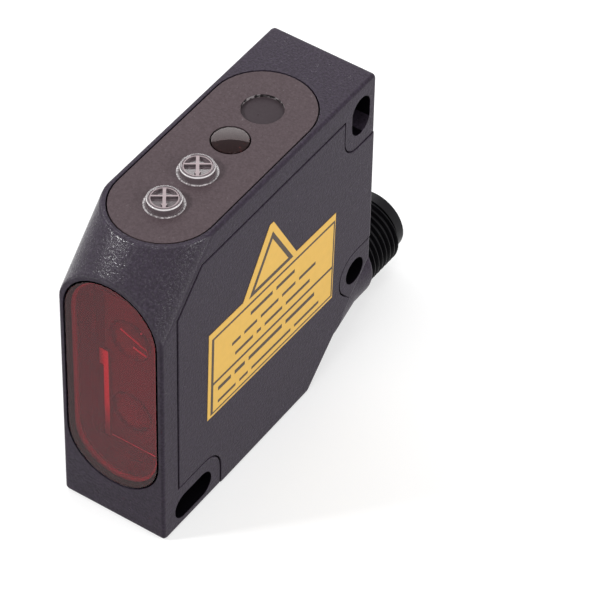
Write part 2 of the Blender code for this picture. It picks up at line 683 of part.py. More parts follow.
def build_boards(board, chip, metal, socket):
    """Control board under the plate, main board on the side wall, and the larger components."""
    side = COVER_INNER_X - JOINT_GAP
    control = block(
        (WALL_X + JOINT_GAP, side - JOINT_GAP),
        (CONTROL_BOARD_FRONT, CONTROL_BOARD_REAR),
        (CONTROL_BOARD_TOP - BOARD_THICKNESS, CONTROL_BOARD_TOP),
    )
    finish_mesh("control_board", control, board)
    inner = BASE_WALL + BOARD_MARGIN
    cut_line = HOUSING_DEPTH - CORNER_CUT - (CUT_WALL + BOARD_MARGIN) * DIAGONAL
    rear = HOUSING_DEPTH - REAR_WALL - BOARD_MARGIN
    hole_clear = HOLE_RADIUS + ROUND_LAND + COVER_LEDGE + BOARD_MARGIN
    above_hole = LOWER_HOLE[1] + hole_clear
    notch_foot = UPPER_SLOT[1] - UPPER_SLOT_TRAVEL / 2 - HOLE_RADIUS - SLOT_LAND - COVER_LEDGE - BOARD_MARGIN
    notch_side = UPPER_SLOT[0] - hole_clear
    outline = [
        (MAIN_BOARD_FRONT, inner), (cut_line + inner, inner),
        (LOWER_HOLE[0] - hole_clear, LOWER_HOLE[0] - hole_clear - cut_line),
        (LOWER_HOLE[0] - hole_clear, above_hole), (rear, above_hole), (rear, notch_foot),
        (notch_side, notch_foot), (notch_side, MAIN_BOARD_TOP), (MAIN_BOARD_FRONT, MAIN_BOARD_TOP),
    ]
    finish_mesh("main_board", across(outline, MAIN_BOARD_X, MAIN_BOARD_FACE), board)
    face = MAIN_BOARD_FACE + JOINT_GAP
    middle = (MAIN_BOARD_FRONT + rear) / 2
    centre = (inner + MAIN_BOARD_TOP) / 2
    processor_front = OPTICS_REAR + 2 * BOARD_MARGIN
    processor = block(
        (face, face + PROCESSOR_HEIGHT),
        (processor_front, processor_front + PROCESSOR_SIDE),
        (centre, centre + PROCESSOR_SIDE),
    )
    finish_mesh("processor_chip", processor, chip)
    driver_rear = rear - BOARD_MARGIN
    driver_foot = above_hole + BOARD_MARGIN
    driver = block(
        (face, face + DRIVER_HEIGHT),
        (driver_rear - DRIVER_LENGTH, driver_rear),
        (driver_foot, driver_foot + DRIVER_WIDTH),
    )
    finish_mesh("output_driver", driver, chip)
    can = turned([
        (0, 0), (CAPACITOR_RADIUS, 0), (CAPACITOR_RADIUS, CAPACITOR_HEIGHT - CAPACITOR_EDGE),
        (CAPACITOR_RADIUS - CAPACITOR_EDGE, CAPACITOR_HEIGHT), (0, CAPACITOR_HEIGHT),
    ], 28)
    can_depth = MAIN_BOARD_FRONT + 2 * BOARD_MARGIN + CAPACITOR_RADIUS
    place(
        finish_mesh("supply_capacitor", can, metal),
        (face, FRONT_Y + can_depth, inner + 2 * BOARD_MARGIN + CAPACITOR_RADIUS),
        (0, math.radians(90), 0),
    )
    header_top = CONTROL_BOARD_TOP - BOARD_THICKNESS - JOINT_GAP
    header = block(
        (face, face + HEADER_WIDTH),
        (middle - HEADER_LENGTH / 2, middle + HEADER_LENGTH / 2),
        (MAIN_BOARD_TOP - HEADER_LAP, header_top),
    )
    finish_mesh("board_header", header, socket)


def build_optics(casing, glass, metal, steel, chip, board):
    """Lens bench behind the window: a front plate with two lens seats, a baffle between the laser
    barrel and the detector, and the bright rib that shows through the window."""
    left = WALL_X + JOINT_GAP
    right = COVER_INNER_X - 2 * JOINT_GAP
    plate_rear = OPTICS_FRONT + OPTICS_PLATE
    plate_foot = OPTICS_FLOOR + PLATE_EDGE_RISE
    rib_top = plate_foot + RIB_LENGTH
    bench = finish_mesh(
        "optics_bench",
        block((left, left + OPTICS_WEB), (OPTICS_FRONT, OPTICS_DEPTH), (OPTICS_FLOOR, OPTICS_TOP)),
        casing,
    )
    overlap = OPTICS_WEB / 2
    shelf_reach = OPTICS_DEPTH - overlap
    middle = (EMITTER_HEIGHT + RECEIVER_HEIGHT) / 2
    pieces = {
        "bench_floor": block((left + overlap, right), (OPTICS_FRONT + overlap, shelf_reach),
                             (OPTICS_FLOOR + overlap / 4, OPTICS_FLOOR + OPTICS_SHELF)),
        "bench_roof": block((left + overlap, right), (OPTICS_FRONT + overlap / 2, shelf_reach),
                            (OPTICS_TOP - OPTICS_SHELF, OPTICS_TOP - overlap / 4)),
        "bench_plate": block((PLATE_EDGE_X, right - overlap / 4), (OPTICS_FRONT + overlap / 8, plate_rear),
                             (plate_foot, OPTICS_TOP - OPTICS_SHELF / 2)),
        "bench_rib": block((PLATE_EDGE_X + overlap / 16, PLATE_EDGE_X + RIB_WIDTH),
                           (OPTICS_FRONT - RIB_PROUD, plate_rear - overlap / 2),
                           (plate_foot + overlap / 16, rib_top)),
        "bench_tab": block((PLATE_EDGE_X - RIB_TAB, PLATE_EDGE_X + RIB_WIDTH / 2),
                           (OPTICS_FRONT - RIB_PROUD / 2, OPTICS_FRONT + OPTICS_PLATE / 2),
                           (rib_top - RIB_TAB_HEIGHT, rib_top - overlap / 8)),
        "bench_baffle": block((MAIN_BOARD_FACE + JOINT_GAP, right - overlap / 2),
                              (plate_rear - overlap / 3, OPTICS_REAR),
                              (middle - OPTICS_SHELF / 2, middle + OPTICS_SHELF / 2)),
    }
    for name, shape in pieces.items():
        combine(bench, finish_mesh(name, shape), "UNION")
    for name, height in (("emitter", EMITTER_HEIGHT), ("receiver", RECEIVER_HEIGHT)):
        seat_floor = OPTICS_PLATE * 0.75
        seat_radius = LENS_RADIUS + JOINT_GAP
        stop = LENS_RADIUS - LENS_LIP
        seat = turned([(0, -OVERRUN), (seat_radius, -OVERRUN), (seat_radius, seat_floor), (stop, seat_floor),
                       (stop, OPTICS_PLATE + OVERRUN), (0, OPTICS_PLATE + OVERRUN)], 36)
        tool = finish_mesh(f"{name}_seat", seat)
        place(tool, (0, FRONT_Y + OPTICS_FRONT, height), (math.radians(-90), 0, 0))
        combine(bench, tool, "DIFFERENCE")
        rear = seat_floor - JOINT_GAP
        rim = rear - LENS_EDGE
        lens = turned([(0, rear), (LENS_RADIUS, rear)] + dome(LENS_RADIUS, rim, -LENS_CROWN), 36)
        place(
            finish_mesh(f"{name}_lens", lens, glass),
            (0, FRONT_Y + OPTICS_FRONT, height),
            (math.radians(-90), 0, 0),
        )
    build_laser(plate_rear, metal, steel)
    build_detector(chip, board)


def build_laser(plate_rear, metal, steel):
    """Brass barrel behind the emitter lens, with the laser diode in its rear end."""
    front = plate_rear + JOINT_GAP
    outer = DIODE_RADIUS + JOINT_GAP + BARREL_WALL
    inner = DIODE_RADIUS - BARREL_WALL
    seat = BARREL_LENGTH - DIODE_SEAT
    room = DIODE_RADIUS + JOINT_GAP
    barrel = turned([(inner, 0), (outer, 0), (outer, BARREL_LENGTH), (room, BARREL_LENGTH), (room, seat),
                     (inner, seat)], 32)
    axis = (math.radians(-90), 0, 0)
    place(finish_mesh("laser_barrel", barrel, metal), (0, FRONT_Y + front, EMITTER_HEIGHT), axis)
    flange = seat + JOINT_GAP
    profile = [(0, flange - DIODE_CAP), (inner - JOINT_GAP, flange - DIODE_CAP), (inner - JOINT_GAP, flange),
               (DIODE_RADIUS, flange), (DIODE_RADIUS, flange + DIODE_FLANGE), (0, flange + DIODE_FLANGE)]
    diode = finish_mesh("laser_diode", turned(profile, 32), steel)
    place(diode, (0, FRONT_Y + front, EMITTER_HEIGHT), axis)
    for index in range(3):
        turn = math.radians(90 * index)
        leg = turned([(0, 0), (LEG_RADIUS, 0), (LEG_RADIUS, LEG_LENGTH), (0, LEG_LENGTH)], 8)
        tool = finish_mesh(f"diode_leg_{index}", leg)
        offset = DIODE_RADIUS / 2
        depth = FRONT_Y + front + flange + DIODE_FLANGE - LEG_RADIUS
        place(tool, (offset * math.cos(turn), depth, EMITTER_HEIGHT + offset * math.sin(turn)), axis)
        combine(diode, tool, "UNION")


def build_detector(chip, board):
    """Light detector on a small upright board, standing at the end of the baffle."""
    middle = (EMITTER_HEIGHT + RECEIVER_HEIGHT) / 2
    roof = middle - OPTICS_SHELF / 2 - JOINT_GAP
    half = CHIP_SIDE / 2
    board_front = OPTICS_REAR - BOARD_THICKNESS
    detector = block(
        (-half, half),
        (board_front - JOINT_GAP - CHIP_THICKNESS, board_front - JOINT_GAP),
        (RECEIVER_HEIGHT - half, RECEIVER_HEIGHT + half),
    )
    finish_mesh("light_detector", detector, chip)
    small = block(
        (MAIN_BOARD_FACE + JOINT_GAP, half + BOARD_MARGIN),
        (board_front, OPTICS_REAR),
        (RECEIVER_HEIGHT - half - 2 * BOARD_MARGIN, roof),
    )
    finish_mesh("detector_board", small, board)


def build_plug(casing, rubber, steel, sleeve_material, insert_material, gold, lead_material, socket):
    """Elbow that swivels on the cut corner, with its seal, clip, threaded sleeve and contacts."""
    swivel = bpy.data.objects.new("swivel_axis", None)
    plug = bpy.data.objects.new("plug_axis", None)
    for empty in (swivel, plug):
        bpy.context.scene.collection.objects.link(empty)
    place(swivel, SWIVEL_CENTRE, (math.radians(-135), 0, 0))
    plug.parent = swivel
    place(plug, (0, 0, PLUG_REACH), (math.radians(45), 0, 0))
    to_swivel = Matrix.Translation((0, 0, PLUG_REACH)) @ Matrix.Rotation(math.radians(45), 4, "X")

    steps = 40
    tail = -(CUT_WALL + 4 * JOINT_GAP + CLIP_THICKNESS + SPIGOT_TAIL)
    groove_top = -CUT_WALL
    groove_foot = groove_top - CLIP_THICKNESS - 2 * JOINT_GAP
    groove = SPIGOT_RADIUS - GROOVE_DEPTH
    chamfer = JOINT_GAP
    rings = [circle(r, h, steps) for r, h in (
        (SPIGOT_RADIUS - chamfer, tail), (SPIGOT_RADIUS, tail + chamfer), (SPIGOT_RADIUS, groove_foot),
        (groove, groove_foot), (groove, groove_top), (SPIGOT_RADIUS, groove_top),
        (SPIGOT_RADIUS, JOINT_GAP), (DISC_RADIUS - DISC_RIM / 2, JOINT_GAP),
        (DISC_RADIUS, JOINT_GAP + DISC_RIM / 2), (DISC_RADIUS, JOINT_GAP + DISC_RIM),
    )]
    rear = HOUSING_DEPTH + ELBOW_REACH - PLUG_AXIS_DEPTH
    neck = HOUSING_DEPTH + ELBOW_NECK_REACH - PLUG_AXIS_DEPTH
    plug_rings = [(ELBOW_RADIUS, neck), (ELBOW_RADIUS, rear - ELBOW_EDGE)]
    for angle in (30, 60, 90):
        turn = math.radians(angle)
        plug_rings.append(
            (ELBOW_RADIUS - ELBOW_EDGE * (1 - math.cos(turn)), rear - ELBOW_EDGE * (1 - math.sin(turn)))
        )
    for radius, height in plug_rings:
        rings.append([tuple(to_swivel @ Vector(point)) for point in circle(radius, height, steps)])
    elbow = finish_mesh("plug_elbow", loft(rings), casing, swivel)

    seat_foot = rear - SLEEVE_SEAT_DEPTH - JOINT_GAP
    seat_room = SLEEVE_SEAT_RADIUS + JOINT_GAP
    overlap = LEAD_BORE / 2
    seat = turned([(0, -overlap), (LEAD_BORE, -overlap), (LEAD_BORE, seat_foot), (seat_room, seat_foot),
                   (seat_room, rear + OVERRUN), (0, rear + OVERRUN)])
    combine(elbow, finish_mesh("sleeve_seat", seat, None, plug), "DIFFERENCE")
    bore = turned([(0, tail - OVERRUN), (LEAD_BORE, tail - OVERRUN), (LEAD_BORE, PLUG_REACH + overlap),
                   (0, PLUG_REACH + overlap)], 32)
    combine(elbow, finish_mesh("lead_bore", bore, None, swivel), "DIFFERENCE")
    groove_room = SEAL_CORD + JOINT_GAP
    gland = turned([
        (SEAL_RING_RADIUS - groove_room, -OVERRUN), (SEAL_RING_RADIUS + groove_room, -OVERRUN),
        (SEAL_RING_RADIUS + groove_room, JOINT_GAP + 2 * SEAL_CORD + JOINT_GAP),
        (SEAL_RING_RADIUS - groove_room, JOINT_GAP + 2 * SEAL_CORD + JOINT_GAP),
    ])
    combine(elbow, finish_mesh("seal_groove", gland, None, swivel), "DIFFERENCE")
    section = arc((SEAL_RING_RADIUS, JOINT_GAP + SEAL_CORD), SEAL_CORD, 0, 330, 11)
    finish_mesh("swivel_seal", turned(section), rubber, swivel)

    clip_inner = groove + JOINT_GAP
    clip_outer = clip_inner + CLIP_WIDTH
    mouth = CLIP_MOUTH / 2
    outline = arc((0, 0), clip_outer, mouth, 360 - mouth, 28)
    outline += arc((0, 0), clip_inner, 360 - mouth, mouth, 28)
    clip_top = groove_top - JOINT_GAP
    clip = prism([(x, y, clip_top) for x, y in outline], (0, 0, -CLIP_THICKNESS))
    finish_mesh("retaining_clip", clip, steel, swivel)

    sleeve_foot = rear - SLEEVE_SEAT_DEPTH
    thread_start = rear + JOINT_GAP
    thread_end = thread_start + THREAD_LENGTH
    end = thread_end + COLLAR_LENGTH
    sleeve = turned([
        (SLEEVE_BORE, sleeve_foot), (SLEEVE_SEAT_RADIUS, sleeve_foot), (SLEEVE_SEAT_RADIUS, thread_start),
        (THREAD_RADIUS - COLLAR_CHAMFER, thread_start), (THREAD_RADIUS, thread_start + COLLAR_CHAMFER),
        (THREAD_RADIUS, thread_end - COLLAR_CHAMFER), (THREAD_RADIUS - COLLAR_CHAMFER, thread_end),
        (COLLAR_RADIUS, thread_end), (COLLAR_RADIUS, end - COLLAR_CHAMFER),
        (COLLAR_RADIUS - COLLAR_CHAMFER, end), (SLEEVE_BORE, end),
    ], 48)
    finish_mesh("threaded_sleeve", sleeve, sleeve_material, plug)
    insert_radius = SLEEVE_BORE - JOINT_GAP
    insert_end = sleeve_foot + INSERT_LENGTH
    insert = turned([(0, sleeve_foot), (insert_radius, sleeve_foot), (insert_radius, insert_end),
                     (0, insert_end)], 36)
    carrier = finish_mesh("contact_carrier", insert, insert_material, plug)
    key = flat_bar(PIN_RADIUS * 2.4, PIN_RADIUS * 2.4, sleeve_foot + INSERT_LENGTH / 2, end)
    key_tool = finish_mesh("key_way", key, None, plug)
    key_tool.location = (0, insert_radius, 0)
    combine(carrier, key_tool, "DIFFERENCE")
    for index in range(PIN_COUNT):
        turn = TURN * (index + 0.5) / PIN_COUNT
        spot = (PIN_CIRCLE * math.cos(turn), PIN_CIRCLE * math.sin(turn), 0)
        room = PIN_RADIUS + JOINT_GAP
        hole = turned([(0, sleeve_foot - OVERRUN), (room, sleeve_foot - OVERRUN), (room, end), (0, end)], 16)
        tool = finish_mesh(f"contact_hole_{index}", hole, None, plug)
        tool.location = spot
        combine(carrier, tool, "DIFFERENCE")
        tip = sleeve_foot + INSERT_LENGTH + PIN_REACH
        pin = turned([(0, sleeve_foot), (PIN_RADIUS, sleeve_foot), (PIN_RADIUS, tip - PIN_RADIUS),
                      (PIN_RADIUS / 2, tip), (0, tip)], 16)
        contact = finish_mesh(f"contact_pin_{index + 1}", pin, gold, plug)
        contact.location = spot
    build_lead(swivel, to_swivel, tail, sleeve_foot, lead_material, socket)


def build_lead(swivel, to_swivel, tail, sleeve_foot, lead_material, socket):
    """Lead bundle down the swivel axis and round to the contacts, and its socket on the main board."""
    start = Vector((0, 0, tail - LEAD_TAIL))
    corner = Vector((0, 0, PLUG_REACH))
    finish = to_swivel @ Vector((0, 0, sleeve_foot - JOINT_GAP))
    heading = (finish - corner).normalized()
    bend = min(LEAD_BORE, (finish - corner).length / 2)
    before = corner - Vector((0, 0, 1)) * bend
    after = corner + heading * bend
    path = [start]
    for i in range(7):
        t = i / 6
        path.append(before * (1 - t) ** 2 + corner * 2 * t * (1 - t) + after * t**2)
    path.append(finish)
    rings = []
    for i, point in enumerate(path):
        ahead = path[min(i + 1, len(path) - 1)] - path[max(i - 1, 0)]
        across_x = Vector((1, 0, 0))
        up = ahead.normalized().cross(across_x).normalized()
        rings.append([tuple(point + across_x * x + up * y) for x, y, _ in circle(LEAD_RADIUS, 0, 16)])
    finish_mesh("lead_bundle", loft(rings), lead_material, swivel)
    top = tail - LEAD_TAIL - JOINT_GAP
    half = LEAD_RADIUS + BOARD_MARGIN
    base_x = MAIN_BOARD_FACE + JOINT_GAP
    outline = [(base_x, -half), (half, -half), (half, half), (base_x, half)]
    body = prism([(x, y, top) for x, y in outline], (0, 0, -2 * half))
    place(finish_mesh("lead_socket", body, socket), SWIVEL_CENTRE, (math.radians(-135), 0, 0))


def build_label(material):
    """Blank sticker with a pointed tab, set a little out of level on the side cover."""
    outline = [
        (0, 0), (LABEL_LENGTH, 0), (LABEL_LENGTH, LABEL_HEIGHT), (TAB_START + TAB_WIDTH, LABEL_HEIGHT),
        (TAB_START + (TAB_WIDTH + TAB_TIP) / 2, LABEL_HEIGHT + TAB_HEIGHT),
        (TAB_START + (TAB_WIDTH - TAB_TIP) / 2, LABEL_HEIGHT + TAB_HEIGHT), (TAB_START, LABEL_HEIGHT),
        (0, LABEL_HEIGHT),
    ]
    shape = prism([(0, d, z) for d, z in outline], (LABEL_THICKNESS, 0, 0))
    label = finish_mesh("side_label", shape, material)
    place(label, (HALF + LABEL_LIFT, FRONT_Y + LABEL_FRONT, LABEL_BASE), (math.radians(LABEL_TILT), 0, 0))


def main():
    clear_scene()
    shell = make_material("black_glass_filled_plastic", (0.060, 0.055, 0.062), 0.55)
    plate = make_material("black_plate_plastic", (0.085, 0.075, 0.078), 0.5)
    rubber = make_material("black_rubber", (0.02, 0.02, 0.02), 0.8)
    red = make_material("red_acrylic", (0.45, 0.03, 0.04), 0.05, transmission=1.0)
    clear = make_material("clear_polycarbonate", (0.95, 0.95, 0.95), 0.04, transmission=1.0)
    smoked = make_material("smoked_lens", (0.10, 0.02, 0.02), 0.05, transmission=0.6)
    glass = make_material("optical_glass", (0.9, 0.92, 0.95), 0.02, transmission=1.0)
    brass = make_material("brass", (0.70, 0.50, 0.20), 0.3, metallic=1.0)
    steel = make_material("steel", (0.60, 0.60, 0.62), 0.3, metallic=1.0)
    gold = make_material("gold_plate", (0.85, 0.62, 0.22), 0.25, metallic=1.0)
    board = make_material("board_laminate", (0.02, 0.16, 0.06), 0.5)
    chip = make_material("chip_resin", (0.02, 0.02, 0.022), 0.45)
    nylon = make_material("black_nylon", (0.03, 0.03, 0.032), 0.5)
    lamp = make_material("lamp_resin", (0.85, 0.85, 0.75), 0.3)
    wire = make_material("grey_pvc", (0.20, 0.20, 0.21), 0.6)
    yellow = make_material("yellow_vinyl", (0.83, 0.50, 0.10), 0.45)
    build_housing(shell)
    build_cover(shell)
    build_window(red, rubber)
    build_plate(plate)
    for index, name in enumerate(("front_adjuster", "rear_adjuster")):
        build_adjuster(name, index, clear, brass, nylon)
    build_indicator(smoked, lamp)
    build_boards(board, chip, steel, nylon)
    build_optics(nylon, glass, brass, steel, chip, board)
    build_plug(shell, rubber, steel, nylon, nylon, gold, wire, nylon)
    build_label(yellow)


main()
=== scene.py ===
"""Looks of a flat laser displacement sensor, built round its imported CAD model.

Every length is in metres. +Z is up, the window looks along -Y and the side cover lies on +X.
"""

import math
from contextlib import contextmanager

import bpy
from mathutils import Matrix, Vector


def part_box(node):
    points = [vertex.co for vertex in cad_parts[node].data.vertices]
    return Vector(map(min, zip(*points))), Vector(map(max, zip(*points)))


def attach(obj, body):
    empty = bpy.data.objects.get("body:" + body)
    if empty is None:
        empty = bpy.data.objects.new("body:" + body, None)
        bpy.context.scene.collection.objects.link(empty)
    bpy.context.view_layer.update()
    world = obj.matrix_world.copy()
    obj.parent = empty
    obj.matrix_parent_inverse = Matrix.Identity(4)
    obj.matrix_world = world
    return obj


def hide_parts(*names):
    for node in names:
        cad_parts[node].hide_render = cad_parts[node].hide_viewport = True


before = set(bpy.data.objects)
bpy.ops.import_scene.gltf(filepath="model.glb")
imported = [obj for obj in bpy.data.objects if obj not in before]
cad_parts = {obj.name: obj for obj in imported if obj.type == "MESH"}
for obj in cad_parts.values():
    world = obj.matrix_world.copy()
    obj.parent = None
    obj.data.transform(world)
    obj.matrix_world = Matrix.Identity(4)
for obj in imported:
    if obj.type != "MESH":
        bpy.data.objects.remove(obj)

bl_info = {
    "name": "Laser displacement sensor",
    "version": (1, 0, 0),
    "blender": (4, 5, 0),
    "location": "View3D > Sidebar > Sensor",
    "description": "Finishes, print, thread, knobs, light and camera of a laser displacement sensor",
    "category": "Object",
}

TURN = 2 * math.pi


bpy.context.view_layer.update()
HOUSING_LOW, HOUSING_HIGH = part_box("housing")
PLATE_LOW, PLATE_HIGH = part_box("control_plate")
COVER_LOW, COVER_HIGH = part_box("side_cover")
SLEEVE_LOW, SLEEVE_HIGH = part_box("threaded_sleeve")

# Centre lines of the upper slot, the round hole below it and the front slot, which run through the
# width, as (depth, height) from the housing's lower front edge
FIXING_HOLES = (
    ((0.0464, 0.04365), (0.0464, 0.04575)),
    ((0.0461, 0.0152), (0.0461, 0.0152)),
    ((0.0048, 0.0034), (0.0090, 0.0034)),
)
# Their radius of 2.15 mm and the rounding of their mouths
HOLE_REACH = 0.0023

# The flanges under the plate that hold the knobs and the indicator: how far they stand out, how thick
FLANGE_RIM = 0.0007
FLANGE_THICKNESS = 0.0008

# Blank round recess in the control plate: how far its centre lies behind the housing's front, its radius
BLANK_DEPTH = 0.0350
BLANK_RADIUS = 0.0030


def linear(hex_colour):
    """sRGB hex to Blender's linear colour."""
    values = [int(hex_colour[i:i + 2], 16) / 255 for i in (1, 3, 5)]
    return tuple(v / 12.92 if v <= 0.04045 else ((v + 0.055) / 1.055) ** 2.4 for v in values)


def colour_property(name, hex_colour, description):
    return bpy.props.FloatVectorProperty(
        name=name, description=description, subtype="COLOR", size=3, min=0, max=1, default=linear(hex_colour)
    )


def length_property(name, metres, description):
    return bpy.props.FloatProperty(
        name=name, description=description, unit="LENGTH", precision=5, min=0, default=metres
    )


def number_property(name, value, description, **limits):
    return bpy.props.FloatProperty(name=name, description=description, default=value, **limits)


class SensorSizes(bpy.types.PropertyGroup):
    seam_close: length_property("Seam closing", 0.00008, "How far a seam's walls stand into the CAD gap")
    edge_round: length_property("Edge rounding", 0.00014, "Rounding on the moulded edges")
    grain: length_property("Grain", 0.00018, "Width of one spark-eroded grain on the moulded skin")
    fine_grain: length_property("Fine grain", 0.00015, "Width of one grain on the control plate")
    thread_pitch: length_property("Thread pitch", 0.0010, "Pitch of the plug's thread")
    thread_depth: length_property("Thread depth", 0.00060, "Height of the thread from root to crest")
    knob_round: length_property("Knob rounding", 0.00022, "Rounding of the knobs' top edge")
    label_film: length_property("Label film", 0.00012, "Thickness of the printed film")
    ink_film: length_property("Ink film", 0.00002, "Height of the printed ink")


class SensorColours(bpy.types.PropertyGroup):
    shell: colour_property("Shell", "#2E2831", "Moulded shell and elbow")
    shell_light: colour_property("Shell light grain", "#3D3542", "Lighter grains of the shell")
    plate: colour_property("Plate", "#483D40", "Control plate")
    plate_light: colour_property("Plate light grain", "#55494D", "Lighter grains of the plate")
    window: colour_property("Window", "#E63E58", "Tint of the acrylic window")
    seal: colour_property("Window seal", "#8F8F92", "Silicone ring behind the window")
    optics: colour_property("Optics", "#2D2D31", "Optics bench behind the window")
    vinyl: colour_property("Label", "#E8BA58", "Printed ground of the label")
    ink: colour_property("Ink", "#51453D", "Printed lines of the label")
    sleeve: colour_property("Sleeve", "#100F12", "Threaded sleeve")
    board: colour_property("Board", "#1E6B3C", "Solder mask")
    brass: colour_property("Brass", "#C9A24B", "Turned brass")
    steel: colour_property("Steel", "#B8BABD", "Spring steel")
    gold: colour_property("Gold", "#E2B95A", "Plated contacts")


class SensorView(bpy.types.PropertyGroup):
    location: bpy.props.FloatVectorProperty(
        name="Camera place", description="Where the camera stands", subtype="TRANSLATION",
        default=(0.223411, -0.308624, 0.411167),
    )
    rotation: bpy.props.FloatVectorProperty(
        name="Camera angles", description="How the camera is turned", subtype="EULER",
        default=tuple(math.radians(angle) for angle in (44.8315, -0.9017, 34.5060)),
    )
    lens: number_property("Focal length", 238.67, "Focal length in millimetres", min=1)
    soft_light: number_property("World light", 0.35, "Strength of the even light from all round", min=0)
    floor_lift: number_property("Floor lift", 0.58, "White that the camera sees on the lit floor", min=0)


def sizes():
    return bpy.context.scene.sensor_sizes


def colours():
    return bpy.context.scene.sensor_colours


# Materials

ACRYLIC_IOR = 1.49
OPTICAL_GLASS_IOR = 1.52
POLYCARBONATE_IOR = 1.585
# Lower than clear polycarbonate's, to match the photographed indicator
SMOKED_IOR = 1.5

# Pale specks of glass filler: how many to a metre, how large in their cell, and their colour
FILLER_DENSITY = 300.0
FILLER_SIZE = 0.018
FILLER_COLOUR = (0.11, 0.10, 0.11, 1)


def add_node(tree, kind, settings=None, inputs=None, to=None, output=0):
    """Adds a node, sets it and its inputs, links the inputs that are given as sockets, and links one
    output to a socket where one is given."""
    node = tree.nodes.new(kind)
    for name, value in (settings or {}).items():
        setattr(node, name, value)
    for name, value in (inputs or {}).items():
        if isinstance(value, bpy.types.NodeSocket):
            tree.links.new(value, node.inputs[name])
        else:
            node.inputs[name].default_value = value
    if to:
        tree.links.new(node.outputs[output], to)
    return node


def new_material(name, **inputs):
    """A material with one Principled shader; returns it with its tree, shader and object coordinates."""
    material = bpy.data.materials.new(name)
    material.use_nodes = True
    tree = material.node_tree
    shader = tree.nodes["Principled BSDF"]
    for socket, value in inputs.items():
        value = value if isinstance(value, float) else (*value, 1)
        shader.inputs[socket.replace("_", " ")].default_value = value
    place = add_node(tree, "ShaderNodeTexCoord").outputs["Object"]
    return material, tree, shader.inputs, place


def set_stops(ramp, dark, light, low=0.0, high=1.0):
    """Sets a ramp's two colours and where each of them starts."""
    for element, position, colour in zip(ramp.color_ramp.elements, (low, high), (dark, light)):
        element.position = position
        element.color = (*colour, 1)


def grained_plastic(name, dark, light, grain, strength, roughness, sheen=0.07, facet_share=0.06):
    """Spark-eroded moulded plastic: an even grain, lighter on its peaks, with pale specks of filler and
    a share of level facets that glitter. Real grain is about 0.05 mm wide, too fine to show, so it is
    drawn three times as coarse."""
    material, tree, skin, place = new_material(name)
    fine = add_node(
        tree, "ShaderNodeTexNoise",
        inputs={"Vector": place, "Scale": 0.5 / grain, "Detail": 3.0, "Roughness": 0.6},
    ).outputs["Fac"]
    ramp = add_node(tree, "ShaderNodeValToRGB", inputs={"Fac": fine})
    set_stops(ramp, dark, light, 0.36, 0.70)
    filler = add_node(tree, "ShaderNodeTexVoronoi", inputs={"Vector": place, "Scale": FILLER_DENSITY})
    speck = add_node(
        tree, "ShaderNodeMath", {"operation": "LESS_THAN"}, {0: filler.outputs["Distance"], 1: FILLER_SIZE}
    )
    add_node(
        tree, "ShaderNodeMix", {"data_type": "RGBA"},
        {"Factor": speck.outputs["Value"], 6: ramp.outputs["Color"], 7: FILLER_COLOUR},
        to=skin["Base Color"], output=2,
    )
    cells = add_node(tree, "ShaderNodeTexVoronoi", inputs={"Vector": place, "Scale": 1.5 / grain})
    facet = add_node(
        tree, "ShaderNodeMath", {"operation": "GREATER_THAN"},
        {0: cells.outputs["Color"], 1: 1 - facet_share},
    ).outputs["Value"]
    changes = ("Specular IOR Level", sheen, sheen + 0.4), ("Roughness", roughness, roughness * 0.6)
    for socket, dull, bright in changes:
        ends = {"Value": facet, "To Min": dull, "To Max": bright}
        add_node(tree, "ShaderNodeMapRange", inputs=ends, to=skin[socket])
    relief = {"Height": fine, "Strength": strength, "Distance": grain * 0.8}
    add_node(tree, "ShaderNodeBump", inputs=relief, to=skin["Normal"])
    return material


def clear_plastic(name, tint, ior, roughness=0.02, **inputs):
    """Polished transparent moulding: clear body, sharp reflections, faint flow marks 2.5 mm apart."""
    material, tree, skin, place = new_material(
        name, Base_Color=tint, Roughness=roughness, IOR=ior, **{"Transmission_Weight": 1.0, **inputs}
    )
    flow = add_node(tree, "ShaderNodeTexNoise", inputs={"Vector": place, "Scale": 400.0, "Detail": 1.0})
    relief = {"Height": flow.outputs["Fac"], "Strength": 0.02, "Distance": 0.00005}
    add_node(tree, "ShaderNodeBump", inputs=relief, to=skin["Normal"])
    return material


def plain_plastic(name, tint, roughness, sheen=0.3):
    """Moulded plastic or rubber with a satin skin, uneven in its gloss. Its grain is drawn 0.2 mm wide,
    because the real one is too fine to show."""
    material, tree, skin, place = new_material(name, Base_Color=tint, Specular_IOR_Level=sheen)
    grain = 0.0002
    noise = add_node(
        tree, "ShaderNodeTexNoise", inputs={"Vector": place, "Scale": 0.5 / grain, "Detail": 3.0}
    ).outputs["Fac"]
    gloss = {"Value": noise, "To Min": roughness * 0.8, "To Max": min(1.0, roughness * 1.25)}
    add_node(tree, "ShaderNodeMapRange", inputs=gloss, to=skin["Roughness"])
    relief = {"Height": noise, "Strength": 0.15, "Distance": grain * 0.3}
    add_node(tree, "ShaderNodeBump", inputs=relief, to=skin["Normal"])
    return material


def turned_metal(name, tint, roughness):
    """Bright metal with the fine rings that a lathe or a press leaves, drawn 0.08 mm apart."""
    material, tree, skin, place = new_material(name, Base_Color=tint, Metallic=1.0)
    rings = add_node(
        tree, "ShaderNodeTexWave", {"wave_type": "RINGS"},
        {"Vector": place, "Scale": 4000.0, "Distortion": 3.0, "Detail": 2.0},
    ).outputs["Fac"]
    gloss = {"Value": rings, "To Min": roughness * 0.8, "To Max": roughness * 1.3}
    add_node(tree, "ShaderNodeMapRange", inputs=gloss, to=skin["Roughness"])
    relief = {"Height": rings, "Strength": 0.08, "Distance": 0.00002}
    add_node(tree, "ShaderNodeBump", inputs=relief, to=skin["Normal"])
    return material


